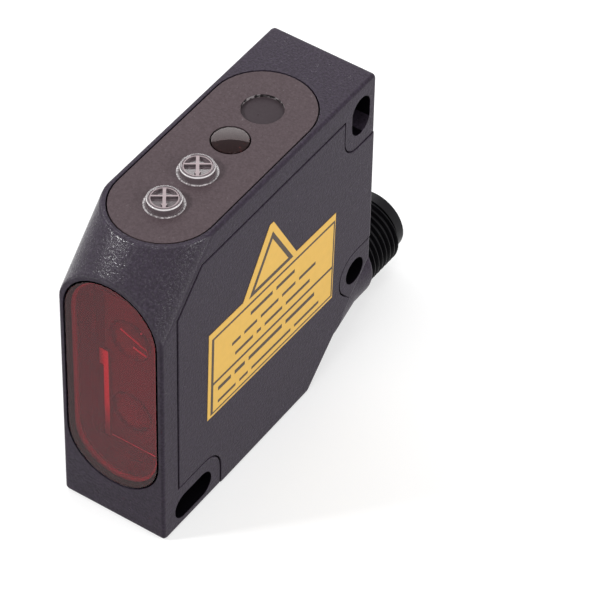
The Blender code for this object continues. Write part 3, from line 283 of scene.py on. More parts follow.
def solder_mask(name, tint):
    """Glass-epoxy board under green mask: copper tracks stand up under it, in rows 0.7 mm high, and
    show as lighter lines."""
    material, tree, skin, place = new_material(name, Roughness=0.35)
    tracks = add_node(
        tree, "ShaderNodeTexBrick",
        inputs={
            "Vector": place, "Scale": 380.0, "Mortar Size": 0.03, "Color1": (*tint, 1),
            "Color2": (*[v * 0.8 for v in tint], 1), "Mortar": (*[min(1.0, v * 2.2 + 0.02) for v in tint], 1),
        },
        to=skin["Base Color"],
    )
    relief = {"Height": tracks.outputs["Fac"], "Strength": 0.3, "Distance": 0.00003}
    add_node(tree, "ShaderNodeBump", inputs=relief, to=skin["Normal"])
    return material


def printed_film(name, tint, roughness=0.42):
    """Screen-printed vinyl: even colour with a slight mottle about 1 mm wide, satin and faintly
    orange-peeled."""
    material, tree, skin, place = new_material(name, Roughness=roughness, Specular_IOR_Level=0.2)
    mottle = add_node(
        tree, "ShaderNodeTexNoise", inputs={"Vector": place, "Scale": 900.0, "Detail": 3.0}
    ).outputs["Fac"]
    ramp = add_node(tree, "ShaderNodeValToRGB", inputs={"Fac": mottle}, to=skin["Base Color"])
    set_stops(ramp, [v * 0.93 for v in tint], [min(1.0, v * 1.05) for v in tint])
    relief = {"Height": mottle, "Strength": 0.1, "Distance": 0.00003}
    add_node(tree, "ShaderNodeBump", inputs=relief, to=skin["Normal"])
    return material


def dress(material, *nodes):
    """Gives CAD nodes a material in the slots of their objects, so that their meshes stay as they are."""
    for node in nodes:
        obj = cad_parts[node]
        if not obj.material_slots:
            obj.data.materials.append(material)
        for material_slot in obj.material_slots:
            material_slot.link = "OBJECT"
            material_slot.material = material


# Modelling

# Corners nearer than this are one: on new pieces, and on a CAD node's loose triangles
TINY = 1e-7
CAD_MERGE = 2e-6
# CAD triangles that bend less than this, in degrees, lie on one face
FLAT_ANGLE = 0.4
# Places nearer than this are measured as the same
SAME_PLACE = 1e-5


def deselect():
    if bpy.context.object and bpy.context.object.mode != "OBJECT":
        bpy.ops.object.mode_set(mode="OBJECT")
    bpy.ops.object.select_all(action="DESELECT")


def pick(obj):
    """Makes one object the only selected and the active one."""
    deselect()
    obj.select_set(True)
    bpy.context.view_layer.objects.active = obj


@contextmanager
def editing(obj, select="SELECT"):
    """Opens a mesh for editing, with all of it selected, nothing of it, or what already was."""
    pick(obj)
    bpy.ops.object.mode_set(mode="EDIT")
    if select:
        bpy.ops.mesh.select_all(action=select)
    yield
    bpy.ops.object.mode_set(mode="OBJECT")


def pull(x, y, z):
    """Extrudes what is selected and moves it by a distance."""
    bpy.ops.mesh.extrude_region_move(TRANSFORM_OT_translate={"value": (x, y, z)})


def turn_outwards():
    bpy.ops.mesh.select_all(action="SELECT")
    bpy.ops.mesh.normals_make_consistent(inside=False)


def name_active(name):
    obj = bpy.context.object
    obj.name = name
    obj.data.name = name
    return obj


def settle(obj):
    """Applies the object's place, so that it lies in its mesh."""
    pick(obj)
    bpy.ops.object.transform_apply(location=True, rotation=True, scale=True)


def add_modifier(obj, kind, **settings):
    """Adds a modifier and applies it."""
    pick(obj)
    modifier = obj.modifiers.new(kind.title(), kind)
    for name, value in settings.items():
        setattr(modifier, name, value)
    bpy.ops.object.modifier_apply(modifier=modifier.name)


def cut(obj, tool, operation="DIFFERENCE"):
    """Exact Boolean with a tool that is then removed."""
    add_modifier(obj, "BOOLEAN", operation=operation, solver="EXACT", object=tool)
    bpy.data.objects.remove(tool, do_unlink=True)


def round_edges(obj, width, segments=2, angle=35.0):
    add_modifier(
        obj, "BEVEL", width=width, segments=segments, limit_method="ANGLE", angle_limit=math.radians(angle),
        miter_outer="MITER_ARC", use_clamp_overlap=True,
    )


def smooth(obj, angle=30.0):
    """Smooth shading up to an angle, with the large flat faces kept flat to the eye."""
    pick(obj)
    bpy.ops.object.shade_smooth_by_angle(angle=math.radians(angle))
    add_modifier(obj, "WEIGHTED_NORMAL", mode="FACE_AREA", weight=100, keep_sharp=True)


def turn_profile(name, profile, segments=72, ring=False):
    """Turns (radius, height) points about Z: a circle is drawn at the first point, then pulled up and
    widened from point to point. A ring section closes on its first point; others get flat ends."""
    deselect()
    first_radius, first_height = profile[0]
    bpy.ops.mesh.primitive_circle_add(vertices=segments, radius=first_radius, location=(0, 0, first_height))
    obj = name_active(name)
    settle(obj)
    points = profile + [profile[0]] if ring else profile
    with editing(obj):
        for (radius, height), (next_radius, next_height) in zip(points, points[1:]):
            pull(0, 0, next_height - height)
            ratio = next_radius / radius
            bpy.ops.transform.resize(value=(ratio, ratio, 1), center_override=(0, 0, next_height))
        bpy.ops.mesh.select_all(action="SELECT")
        bpy.ops.mesh.remove_doubles(threshold=TINY)
        if not ring:
            bpy.ops.mesh.select_all(action="DESELECT")
            bpy.ops.mesh.select_non_manifold()
            bpy.ops.mesh.fill_holes(sides=0)
        turn_outwards()
    return obj


def move_along(obj, location, axis="Z", turn=0.0):
    """Turns an object about Z, lays its Z along Y if asked, and moves it to its place."""
    lay = Matrix.Rotation(math.radians(-90), 4, "X") if axis == "Y" else Matrix()
    obj.matrix_world = Matrix.Translation(location) @ lay @ Matrix.Rotation(turn, 4, "Z")
    settle(obj)
    return obj


def merged_copy(node, name):
    """A copy of a CAD node with its loose triangles merged and its flat faces whole again."""
    obj = bpy.data.objects.new(name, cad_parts[node].data.copy())
    obj.data.name = name
    bpy.context.scene.collection.objects.link(obj)
    with editing(obj):
        bpy.ops.mesh.remove_doubles(threshold=CAD_MERGE)
        bpy.ops.mesh.dissolve_limited(angle_limit=math.radians(FLAT_ANGLE))
    return obj


def unselect_mesh(obj):
    """Corners that stay selected would take their faces into a later choice of faces."""
    with editing(obj, "DESELECT"):
        pass


def widen_faces(obj, test, amount):
    """Moves the faces that pass a test outwards along their normals."""
    unselect_mesh(obj)
    for polygon in obj.data.polygons:
        polygon.select = test(polygon.center, polygon.normal)
    with editing(obj, None):
        bpy.ops.transform.shrink_fatten(value=amount, use_even_offset=True)


def finish_piece(obj, body, slot_name, material, *nodes):
    """Gives a finished piece its material and body, and hides the CAD nodes that it stands for. Its slot_name
    is not used.
    """
    obj.data.materials.clear()
    obj.data.materials.append(material)
    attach(obj, body)
    if nodes:
        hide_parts(*nodes)


class SensorOperator(bpy.types.Operator):
    """Base of the sensor's operators"""
    bl_options = {"REGISTER", "UNDO"}


class SENSOR_OT_shell(SensorOperator):
    """Moulded housing, side cover and plug elbow, with rounded edges and a grained skin"""
    bl_idname = "sensor.shell"
    bl_label = "Shell"

    least_slope: number_property("Least slope", 0.12, "How far a face leans before it counts as hood")

    def execute(self, context):
        look = colours().shell, colours().shell_light, sizes().grain
        skin = grained_plastic("moulded_glass_filled_nylon", *look, 0.5, 0.38)
        housing = merged_copy("housing", "housing_shell")
        round_edges(housing, sizes().edge_round)
        smooth(housing)
        finish_piece(housing, "sensor", "black_glass_filled_plastic", skin, "housing")
        # The mould is blasted less on the hood above the window, so its skin is glossier and glitters.
        # The fixing holes' walls are painted near black for the shade inside the slots and the round hole.
        housing.data.materials.append(
            grained_plastic("moulded_hood_skin", *look, 0.5, 0.24, sheen=0.18, facet_share=0.25)
        )
        housing.data.materials.append(plain_plastic("painted_shade_hole_wall", linear("#0C0A0E"), 0.3, sheen=0.05))
        for polygon in housing.data.polygons:
            on_hood = self.on_hood(polygon)
            polygon.material_index = 1 if on_hood else 2 if self.in_fixing_hole(polygon) else 0
        cover = merged_copy("side_cover", "cover_panel")
        widen_faces(cover, self.on_seam, sizes().seam_close)
        round_edges(cover, sizes().edge_round)
        smooth(cover)
        finish_piece(cover, "sensor", "black_glass_filled_plastic", skin, "side_cover")
        elbow = merged_copy("plug_elbow", "elbow_shell")
        round_edges(elbow, sizes().edge_round, angle=45.0)
        smooth(elbow)
        finish_piece(elbow, "connector", "black_glass_filled_plastic", skin, "plug_elbow")
        return {"FINISHED"}

    def on_hood(self, polygon):
        """True for what slopes forwards and upwards in the housing's upper half."""
        slopes = polygon.normal.y < -self.least_slope and polygon.normal.z > self.least_slope
        return slopes and polygon.center.z > HOUSING_HIGH.z / 2

    def on_seam(self, centre, normal):
        """True for the cover's edges that face the housing, not those in the part's own outline."""
        rounding = 2 * sizes().edge_round
        inner = centre.y < COVER_HIGH.y - rounding and centre.z > COVER_LOW.z + rounding
        on_cut = normal.y > 0.6 and normal.z < -0.6
        return abs(normal.x) < 0.5 and inner and not on_cut

    def in_fixing_hole(self, polygon):
        """True for the walls of the two slots and the round hole through the width."""
        for (start_y, start_z), (end_y, end_z) in FIXING_HOLES:
            y = polygon.center.y - HOUSING_LOW.y
            z = polygon.center.z - HOUSING_LOW.z
            reach = math.hypot(y - min(max(y, start_y), end_y), z - min(max(z, start_z), end_z))
            if abs(polygon.normal.x) < 0.2 and reach < HOLE_REACH:
                return True
        return False


class SENSOR_OT_control_plate(SensorOperator):
    """Control plate with a fine grain, a narrow seam round it, and thin rings at the knobs' holes painted
    with a bright halo and glints
    """
    bl_idname = "sensor.control_plate"
    bl_label = "Control plate"

    lip_inner: length_property("Lip inner radius", 0.00262, "From a knob's axis to its hole's bright lip")
    lip_outer: length_property("Lip outer radius", 0.00288, "From a knob's axis to the lip's outer edge")

    def execute(self, context):
        skin = grained_plastic(
            "moulded_plate_plastic", colours().plate, colours().plate_light, sizes().fine_grain, 0.35, 0.5
        )
        plate = merged_copy("control_plate", "control_panel")
        radius = (PLATE_HIGH.x - PLATE_LOW.x) / 2
        front = PLATE_LOW.y + radius
        rear = PLATE_HIGH.y - radius

        def on_rim(centre, normal):
            nearest = min(max(centre.y, front), rear)
            return abs(normal.z) < 0.5 and math.hypot(centre.x, centre.y - nearest) > radius * 0.98

        widen_faces(plate, on_rim, sizes().seam_close)
        round_edges(plate, sizes().edge_round * 0.7)
        finish_piece(plate, "sensor", "black_plate_plastic", skin, "control_plate")
        # The blank recess's wall is painted near black for the shade in the recess, with bright cells painted
        # in as its glints.
        plate.data.materials.append(
            self.painted_glints("painted_shade_and_glints_blank_wall", 2500.0, (0.012, 0.01, 0.011), (0.30, 0.27, 0.28), 0.75)
        )
        blank_y = HOUSING_LOW.y + BLANK_DEPTH
        blank_reach = BLANK_RADIUS + 0.0004
        for polygon in plate.data.polygons:
            in_blank = math.hypot(polygon.center.x, polygon.center.y - blank_y) < blank_reach
            polygon.material_index = 1 if in_blank and abs(polygon.normal.z) < 0.2 else 0
        smooth(plate)
        # Thin rings at the knobs' holes are painted with bright cells for the halo of light that the clear
        # knobs let through, and for the glints on the holes' edges.
        painted_glints = self.painted_glints("painted_halo_glints", 7000.0, (0.14, 0.12, 0.125), (0.50, 0.47, 0.48), 0.65)
        foot = PLATE_HIGH.z - 0.0001
        top = PLATE_HIGH.z
        profile = [
            (self.lip_inner, foot), (self.lip_outer, foot), (self.lip_outer, top + 0.00001),
            (self.lip_outer - 0.0001, top + 0.00004), (self.lip_inner, top + 0.00002),
        ]
        for place in ("front", "rear"):
            low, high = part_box(f"{place}_adjuster_knob")
            lip = turn_profile(f"{place}_painted_halo_ring", profile, 96, ring=True)
            move_along(lip, (0, (low.y + high.y) / 2, 0))
            smooth(lip)
            finish_piece(lip, "sensor", "black_plate_plastic", painted_glints)
        return {"FINISHED"}

    def painted_glints(self, name, glints_per_metre, dark, bright, reach):
        """Painted shade and glints for a hole's mouth or wall: cells painted dark or, past a reach of 0 to 1,
        bright. The real glints are finer, too fine to show."""
        material, tree, skin, place = new_material(name, Roughness=0.3)
        glint_cells = add_node(tree, "ShaderNodeTexVoronoi", inputs={"Vector": place, "Scale": glints_per_metre})
        ramp = add_node(
            tree, "ShaderNodeValToRGB", inputs={"Fac": glint_cells.outputs["Color"]}, to=skin["Base Color"]
        )
        set_stops(ramp, dark, bright, reach - 0.35, reach)
        relief = {"Height": glint_cells.outputs["Distance"], "Strength": 0.5, "Distance": 0.00005}
        add_node(tree, "ShaderNodeBump", inputs=relief, to=skin["Normal"])
        return material


class SENSOR_OT_window(SensorOperator):
    """Tinted front window, its seal, and the lens bench that shows through it"""
    bl_idname = "sensor.window"
    bl_label = "Window and optics"

    rear_bevel: length_property("Rear bevel", 0.00055, "Blackened bevel round the pane's rear face")
    wire_radius: length_property("Wire radius", 0.00012, "Radius of the wire in front of the lens")

    def execute(self, context):
        pane = merged_copy("front_window", "window_pane")
        rear = max(vertex.co.y for vertex in pane.data.vertices)
        unselect_mesh(pane)
        for edge in pane.data.edges:
            edge.select = all(abs(pane.data.vertices[i].co.y - rear) < SAME_PLACE for i in edge.vertices)
        with editing(pane, None):
            bpy.ops.mesh.bevel(offset=self.rear_bevel, affect="EDGES")
        smooth(pane)
        acrylic = clear_plastic(
            "tinted_acrylic", colours().window, ACRYLIC_IOR, Transmission_Weight=0.97,
            Specular_Tint=(0.0, 0.0, 0.0),
        )
        finish_piece(pane, "sensor", "red_acrylic", acrylic, "front_window")
        # The pane's wall and bevel are black, which makes the dark band round the window's left and bottom.
        pane.data.materials.append(plain_plastic("black_pane_edge", linear("#060607"), 0.8, sheen=0.0))
        for polygon in pane.data.polygons:
            polygon.material_index = 1 if abs(polygon.normal.y) < 0.9 else 0
        dress(plain_plastic("moulded_silicone", colours().seal, 0.6), "window_seal")
        dress(plain_plastic("moulded_bench_nylon", colours().optics, 0.35), "optics_bench")
        glass = clear_plastic(
            "polished_optical_glass", linear("#26262C"), OPTICAL_GLASS_IOR, 0.0, Transmission_Weight=0.75
        )
        dress(glass, "emitter_lens", "receiver_lens")
        dress(turned_metal("turned_brass", colours().brass, 0.3), "laser_barrel")
        dress(turned_metal("nickel_plated_steel", colours().steel, 0.25), "laser_diode")
        # Bright aluminium strips and a wire stand in for the glints on the bench's edges and on the upper
        # lens.
        self.glint_pieces(turned_metal("polished_aluminium", linear("#E6E7E9"), 0.3))
        return {"FINISHED"}

    def glint_pieces(self, metal):
        """Bright aluminium strips on the bench's rib, its tab and its foot, and a wire with a ball at its end
        in front of the upper lens, put in for the glints on these edges and on the lens.
        """
        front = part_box("optics_bench")[0].y
        # Each strip's reach along X, Y and Z
        strips = {
            "rib_glint_strip": ((-0.00418, -0.00337), (front - 0.00005, front + 0.00006), (0.0106, 0.0271)),
            "tab_glint_strip": ((-0.00498, -0.00422), (front + 0.00013, front + 0.00026), (0.0240, 0.0269)),
            "foot_glint_strip": ((-0.0033, 0.0045), (front + 0.00034, front + 0.00046), (0.01052, 0.01066)),
        }
        for name, sides in strips.items():
            deselect()
            bpy.ops.mesh.primitive_cube_add(size=1, location=[(low + high) / 2 for low, high in sides])
            strip = name_active(name)
            strip.scale = [high - low for low, high in sides]
            settle(strip)
            round_edges(strip, 0.00002, 1)
            finish_piece(strip, "sensor", "steel", metal)
        # The wire's way in front of the lens, as (X, Z): across it, round a bend and back
        wire_y = front - 0.00095
        route = ((-0.00045, 0.03405), (0.0037, 0.0324), (0.00395, 0.0318), (0.0038, 0.0312), (0.0016, 0.0317))
        start_x, start_z = route[0]
        deselect()
        bpy.ops.mesh.primitive_circle_add(
            vertices=12, radius=self.wire_radius, fill_type="NGON",
            location=(start_x, wire_y, start_z), rotation=(0, math.radians(90), 0),
        )
        wire = name_active("lens_glint_wire")
        settle(wire)
        with editing(wire):
            for (x, z), (next_x, next_z) in zip(route, route[1:]):
                pull(next_x - x, 0, next_z - z)
            turn_outwards()
        smooth(wire, 50)
        finish_piece(wire, "sensor", "steel", metal)
        end = small_ball("lens_glint_dot", 0.00016, (0.00284, front - 0.0008, 0.0349))
        smooth(end, 50)
        finish_piece(end, "sensor", "steel", metal)


def small_ball(name, radius, location):
    deselect()
    bpy.ops.mesh.primitive_uv_sphere_add(segments=16, ring_count=8, radius=radius, location=location)
    ball = name_active(name)
    settle(ball)
    return ball


def flat_triangle(name, half_width, length):
    """Triangle in the XY plane: its foot lies on Y = 0 and its point is at Y = length."""
    deselect()
    bpy.ops.mesh.primitive_circle_add(vertices=3, radius=1, fill_type="NGON", location=(0, 0, 0))
    obj = name_active(name)
    obj.scale = (half_width / math.cos(math.radians(30)), length / 1.5, 1)
    settle(obj)
    obj.location = (0, length / 3, 0)
    settle(obj)
    return obj


def flat_rectangle(name, left, foot, right, head):
    deselect()
    bpy.ops.mesh.primitive_plane_add(size=1, location=((left + right) / 2, (foot + head) / 2, 0))
    obj = name_active(name)
    obj.scale = (right - left, head - foot, 1)
    settle(obj)
    return obj


def border_of(obj, width):
    """Leaves only a border of one width inside a flat shape's outline."""
    with editing(obj):
        bpy.ops.mesh.inset(thickness=width, use_even_offset=True)
        bpy.ops.mesh.delete(type="FACE")
    return obj


def thicken(obj, height):
    """Pulls a flat shape up into a closed solid."""
    with editing(obj):
        pull(0, 0, height)
        turn_outwards()
    return obj


class SENSOR_OT_controls(SensorOperator):
    """Two clear adjuster knobs with arrows, the domed indicator and the inlay in the blank recess"""
    bl_idname = "sensor.controls"
    bl_label = "Controls"

    arrow_angle: number_property("Arrow angle", -55.0, "Which way the arrows point, in degrees from +X")
    groove: length_property("Groove", 0.00045, "Depth of the pockets beside the arrow")
    head_drop: length_property("Head drop", 0.0004, "How much lower the knobs end than their solids do")
    ledge: length_property("Ledge", 0.00012, "How far the arrow lies below a knob's rim")

    def execute(self, context):
        # Clear body, ground tops of arrow and crossbar, underside that spreads the light, and the rounded rim
        # that gathers it, ground and painted near white for the highlights that it catches. Body and rim are
        # only part clear, to match the photograph.
        looks = (
            clear_plastic(
                "moulded_polycarbonate", linear("#83757A"), POLYCARBONATE_IOR, 0.05, Transmission_Weight=0.5
            ),
            plain_plastic("frosted_polycarbonate", linear("#9A8B8E"), 0.35),
            plain_plastic("diffusing_underside", linear("#6A5C60"), 0.6),
            clear_plastic(
                "ground_rim_painted_highlight", linear("#F4EFF0"), POLYCARBONATE_IOR, 0.12, Transmission_Weight=0.15
            ),
        )
        brass = turned_metal("blackened_brass", linear("#3A3430"), 0.45)
        casing = plain_plastic("moulded_trimmer_casing", linear("#222226"), 0.5)
        for place in ("front", "rear"):
            self.knob(place, looks)
            dress(brass, f"{place}_adjuster_rotor")
            dress(casing, f"{place}_adjuster_trimmer")
        self.indicator()
        self.blank()
        return {"FINISHED"}

    def knob(self, place, looks):
        """Clear body with a rounded, slightly tapered head; four pockets leave a rim, a shaft and a
        crossbar standing, whose ground tops show pale."""
        node = f"{place}_adjuster_knob"
        low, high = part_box(node)
        centre = (low + high) / 2
        flange = (high.x - low.x) / 2
        stem = flange - FLANGE_RIM
        foot = low.z
        flange_top = foot + FLANGE_THICKNESS
        top = high.z - self.head_drop
        arrow_top = top - self.ledge
        rounding = sizes().knob_round
        rim = stem - 0.00008
        skirt = stem + 0.00009
        profile = [(flange, foot), (flange, flange_top), (skirt, flange_top), (skirt, PLATE_HIGH.z + 0.00025)]
        for step in (0, 18, 36, 54, 72, 90):
            angle = math.radians(step)
            profile.append((rim - rounding * (1 - math.cos(angle)), top - rounding * (1 - math.sin(angle))))
        face = 0.00200
        profile += [(face + 0.00008, top), (face, arrow_top)]
        knob = turn_profile(f"{place}_knob", profile, 96)
        move_along(knob, (centre.x, centre.y, 0))
        for look in looks:
            knob.data.materials.append(look)
        # A round hollow, a little wider at its mouth, less the shapes that are left standing in it
        pockets = turn_profile("pockets", [(0.00178, 0), (0.00190, 2 * self.groove)], 72)
        height = 3 * self.groove
        kept = (
            flat_rectangle("shaft", -0.00023, -0.0022, 0.00023, 0.0022),
            flat_rectangle("crossbar", -0.0022, -0.00055, 0.0022, -0.00028),
            move_along(flat_triangle("arrow_head", 0.00045, 0.0008), (0, 0.0011, 0)),
        )
        for shape in kept:
            cut(pockets, move_along(thicken(shape, height), (0, 0, -self.groove / 2)))
        turn = math.radians(self.arrow_angle - 90)
        move_along(pockets, (centre.x, centre.y, arrow_top - self.groove), turn=turn)
        cut(knob, pockets)
        for polygon in knob.data.polygons:
            middle = polygon.center
            reach = math.hypot(middle.x - centre.x, middle.y - centre.y)
            level = abs(polygon.normal.z) > 0.9
            index = 0
            if middle.z < foot + SAME_PLACE:
                index = 2
            elif level and reach < face - 0.00005 and abs(middle.z - arrow_top) < 2 * SAME_PLACE:
                index = 1
            elif rim - rounding * 0.5 < reach and middle.z > top - rounding and not level:
                index = 3
            polygon.material_index = index
        smooth(knob, 40)
        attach(knob, f"{place}_adjuster")
        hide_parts(node)

    def indicator(self):
        """Smoked lens: a narrow core that carries the lamp's light up, a flange that the plate holds
        down, and a low dome in the plate's hole."""
        low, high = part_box("indicator_lens")
        centre = (low + high) / 2
        core = 0.0017
        flange = (high.x - low.x) / 2
        radius = flange - 0.0006
        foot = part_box("front_adjuster_knob")[0].z
        flange_top = foot + FLANGE_THICKNESS
        plate_top = PLATE_HIGH.z
        rise = high.z - plate_top
        profile = [
            (core, low.z), (core, foot), (flange, foot), (flange, flange_top), (radius, flange_top),
            (radius, plate_top - 0.00002),
        ]
        # The dome ends in a tiny flat, because a turned profile can't end in a point.
        steps = 8
        for step in range(1, steps + 1):
            share = math.cos(math.radians(90 * step / steps)) if step < steps else 0.02
            profile.append((radius * share, plate_top + rise * (1 - share ** 2)))
        lens = turn_profile("indicator_dome", profile, 72)
        move_along(lens, (centre.x, centre.y, 0))
        smooth(lens, 50)
        smoked = clear_plastic(
            "smoked_polycarbonate", linear("#3A2020"), SMOKED_IOR, Transmission_Weight=0.8,
            Specular_Tint=(0.40, 0.31, 0.32),
        )
        finish_piece(lens, "sensor", "smoked_lens", smoked, "indicator_lens")
        dress(plain_plastic("smoked_lamp_resin", linear("#2A1215"), 0.3), "indicator_lamp")

    def blank(self):
        """Smooth inlay in the blank recess, with the small pit that its mould's gate left."""
        radius = BLANK_RADIUS - 0.0001
        centre_y = HOUSING_LOW.y + BLANK_DEPTH
        foot = PLATE_HIGH.z - 0.00054
        profile = [(radius, foot), (radius, foot + 0.00004), (radius - 0.00004, foot + 0.00006)]
        inlay = turn_profile("blank_inlay", profile, 72)
        move_along(inlay, (0, centre_y, 0))
        cut(inlay, small_ball("gate_pit", 0.00012, (-0.0001, centre_y - 0.0009, foot + 0.0001)))
        smooth(inlay, 40)
        skin = plain_plastic("satin_inlay_plastic", linear("#3A3236"), 0.6, sheen=0.1)
        finish_piece(inlay, "sensor", "black_plate_plastic", skin)


class SENSOR_OT_plug(SensorOperator):
    """Threaded sleeve with a real helical thread, its contacts, seal, clip and leads"""
    bl_idname = "sensor.plug"
    bl_label = "Plug"

    def execute(self, context):
        nylon = plain_plastic("moulded_black_polyamide", colours().sleeve, 0.38, sheen=0.12)
        start = SLEEVE_LOW.y
        length = SLEEVE_HIGH.y - start
        axis_height = (SLEEVE_LOW.z + SLEEVE_HIGH.z) / 2
        crest = (SLEEVE_HIGH.z - SLEEVE_LOW.z) / 2
        # Radii of the sleeve's bore, of its plain neck and of its end collar
        bore = 0.0042
        seat = 0.0049
        collar = 0.0052
        # Along the sleeve: where the thread starts and ends, and where the collar starts
        thread_from = 0.0063
        thread_to = thread_from + 0.00655
        shoulder = thread_to + 0.00085
        chamfer = 0.00010
        root = crest - sizes().thread_depth
        sleeve = turn_profile(
            "plug_sleeve",
            [
                (bore, 0), (seat, 0), (seat, thread_from), (root, thread_from), (root, thread_to),
                (seat, thread_to + 0.0002), (seat, shoulder), (collar, shoulder), (collar, length - chamfer),
                (collar - chamfer, length), (bore, length),
            ],
            96, ring=True,
        )
        thread = self.thread(root - 0.0003, crest, thread_from, thread_to)
        cut(sleeve, thread, "UNION")
        move_along(sleeve, (0, start, axis_height), "Y")
        smooth(sleeve, 25)
        finish_piece(sleeve, "connector", "black_nylon", nylon, "threaded_sleeve")
        dress(plain_plastic("moulded_insert_nylon", linear("#232326"), 0.45), "contact_carrier")
        pins = [f"contact_pin_{index}" for index in range(1, 5)]
        dress(turned_metal("plated_contact", colours().gold, 0.22), *pins)
        dress(plain_plastic("nitrile_rubber", linear("#1B1B1C"), 0.75), "swivel_seal")
        dress(turned_metal("spring_steel", colours().steel, 0.3), "retaining_clip")
        dress(plain_plastic("extruded_pvc", linear("#6A6A6E"), 0.5), "lead_bundle")
        return {"FINISHED"}

    def thread(self, root, crest, low, high):
        """One helical ridge with flat crest, cut square at both ends."""
        pitch = sizes().thread_pitch
        depth = crest - root
        steps = 72
        ridge = flat_rectangle("thread_ridge", -0.0005, -0.0005, 0.0005, 0.0005)
        with editing(ridge):
            bpy.ops.mesh.merge(type="CENTER")
            bpy.ops.transform.translate(value=(root, 0, low - 2 * pitch))
            # Foot, flank, crest, flank and foot of one pitch, as (outwards, share of the pitch)
            for radial, rise in ((0, 0.15), (depth, 0.30), (0, 0.12), (-depth, 0.30), (0, 0.13)):
                pull(radial, 0, rise * pitch)
        turns = math.ceil((high - low) / pitch) + 4
        add_modifier(
            ridge, "SCREW", axis="Z", angle=TURN, screw_offset=pitch, iterations=turns, steps=steps,
            render_steps=steps, use_merge_vertices=True, merge_threshold=0.000001, use_normal_calculate=True,
        )
        with editing(ridge, None):
            for height, inner, outer in ((low, True, False), (high, False, True)):
                bpy.ops.mesh.select_all(action="SELECT")
                bpy.ops.mesh.bisect(
                    plane_co=(0, 0, height), plane_no=(0, 0, 1), use_fill=True, clear_inner=inner,
                    clear_outer=outer, threshold=TINY,
                )
            turn_outwards()
        bore = root - 0.0002
        cut(ridge, turn_profile("thread_bore", [(bore, low - pitch), (bore, high + pitch)], 96))
        return ridge


class SENSOR_OT_boards(SensorOperator):
    """Boards and components inside the housing"""
    bl_idname = "sensor.boards"
    bl_label = "Boards"

    def execute(self, context):
        laminate = solder_mask("solder_masked_laminate", colours().board)
        dress(laminate, "control_board", "main_board", "detector_board")
        resin = plain_plastic("moulded_chip_epoxy", linear("#26262A"), 0.55)
        dress(resin, "processor_chip", "output_driver", "light_detector")
        dress(turned_metal("drawn_aluminium", colours().steel, 0.3), "supply_capacitor")
        dress(plain_plastic("moulded_header_nylon", linear("#1F1F22"), 0.5), "board_header", "lead_socket")
        return {"FINISHED"}


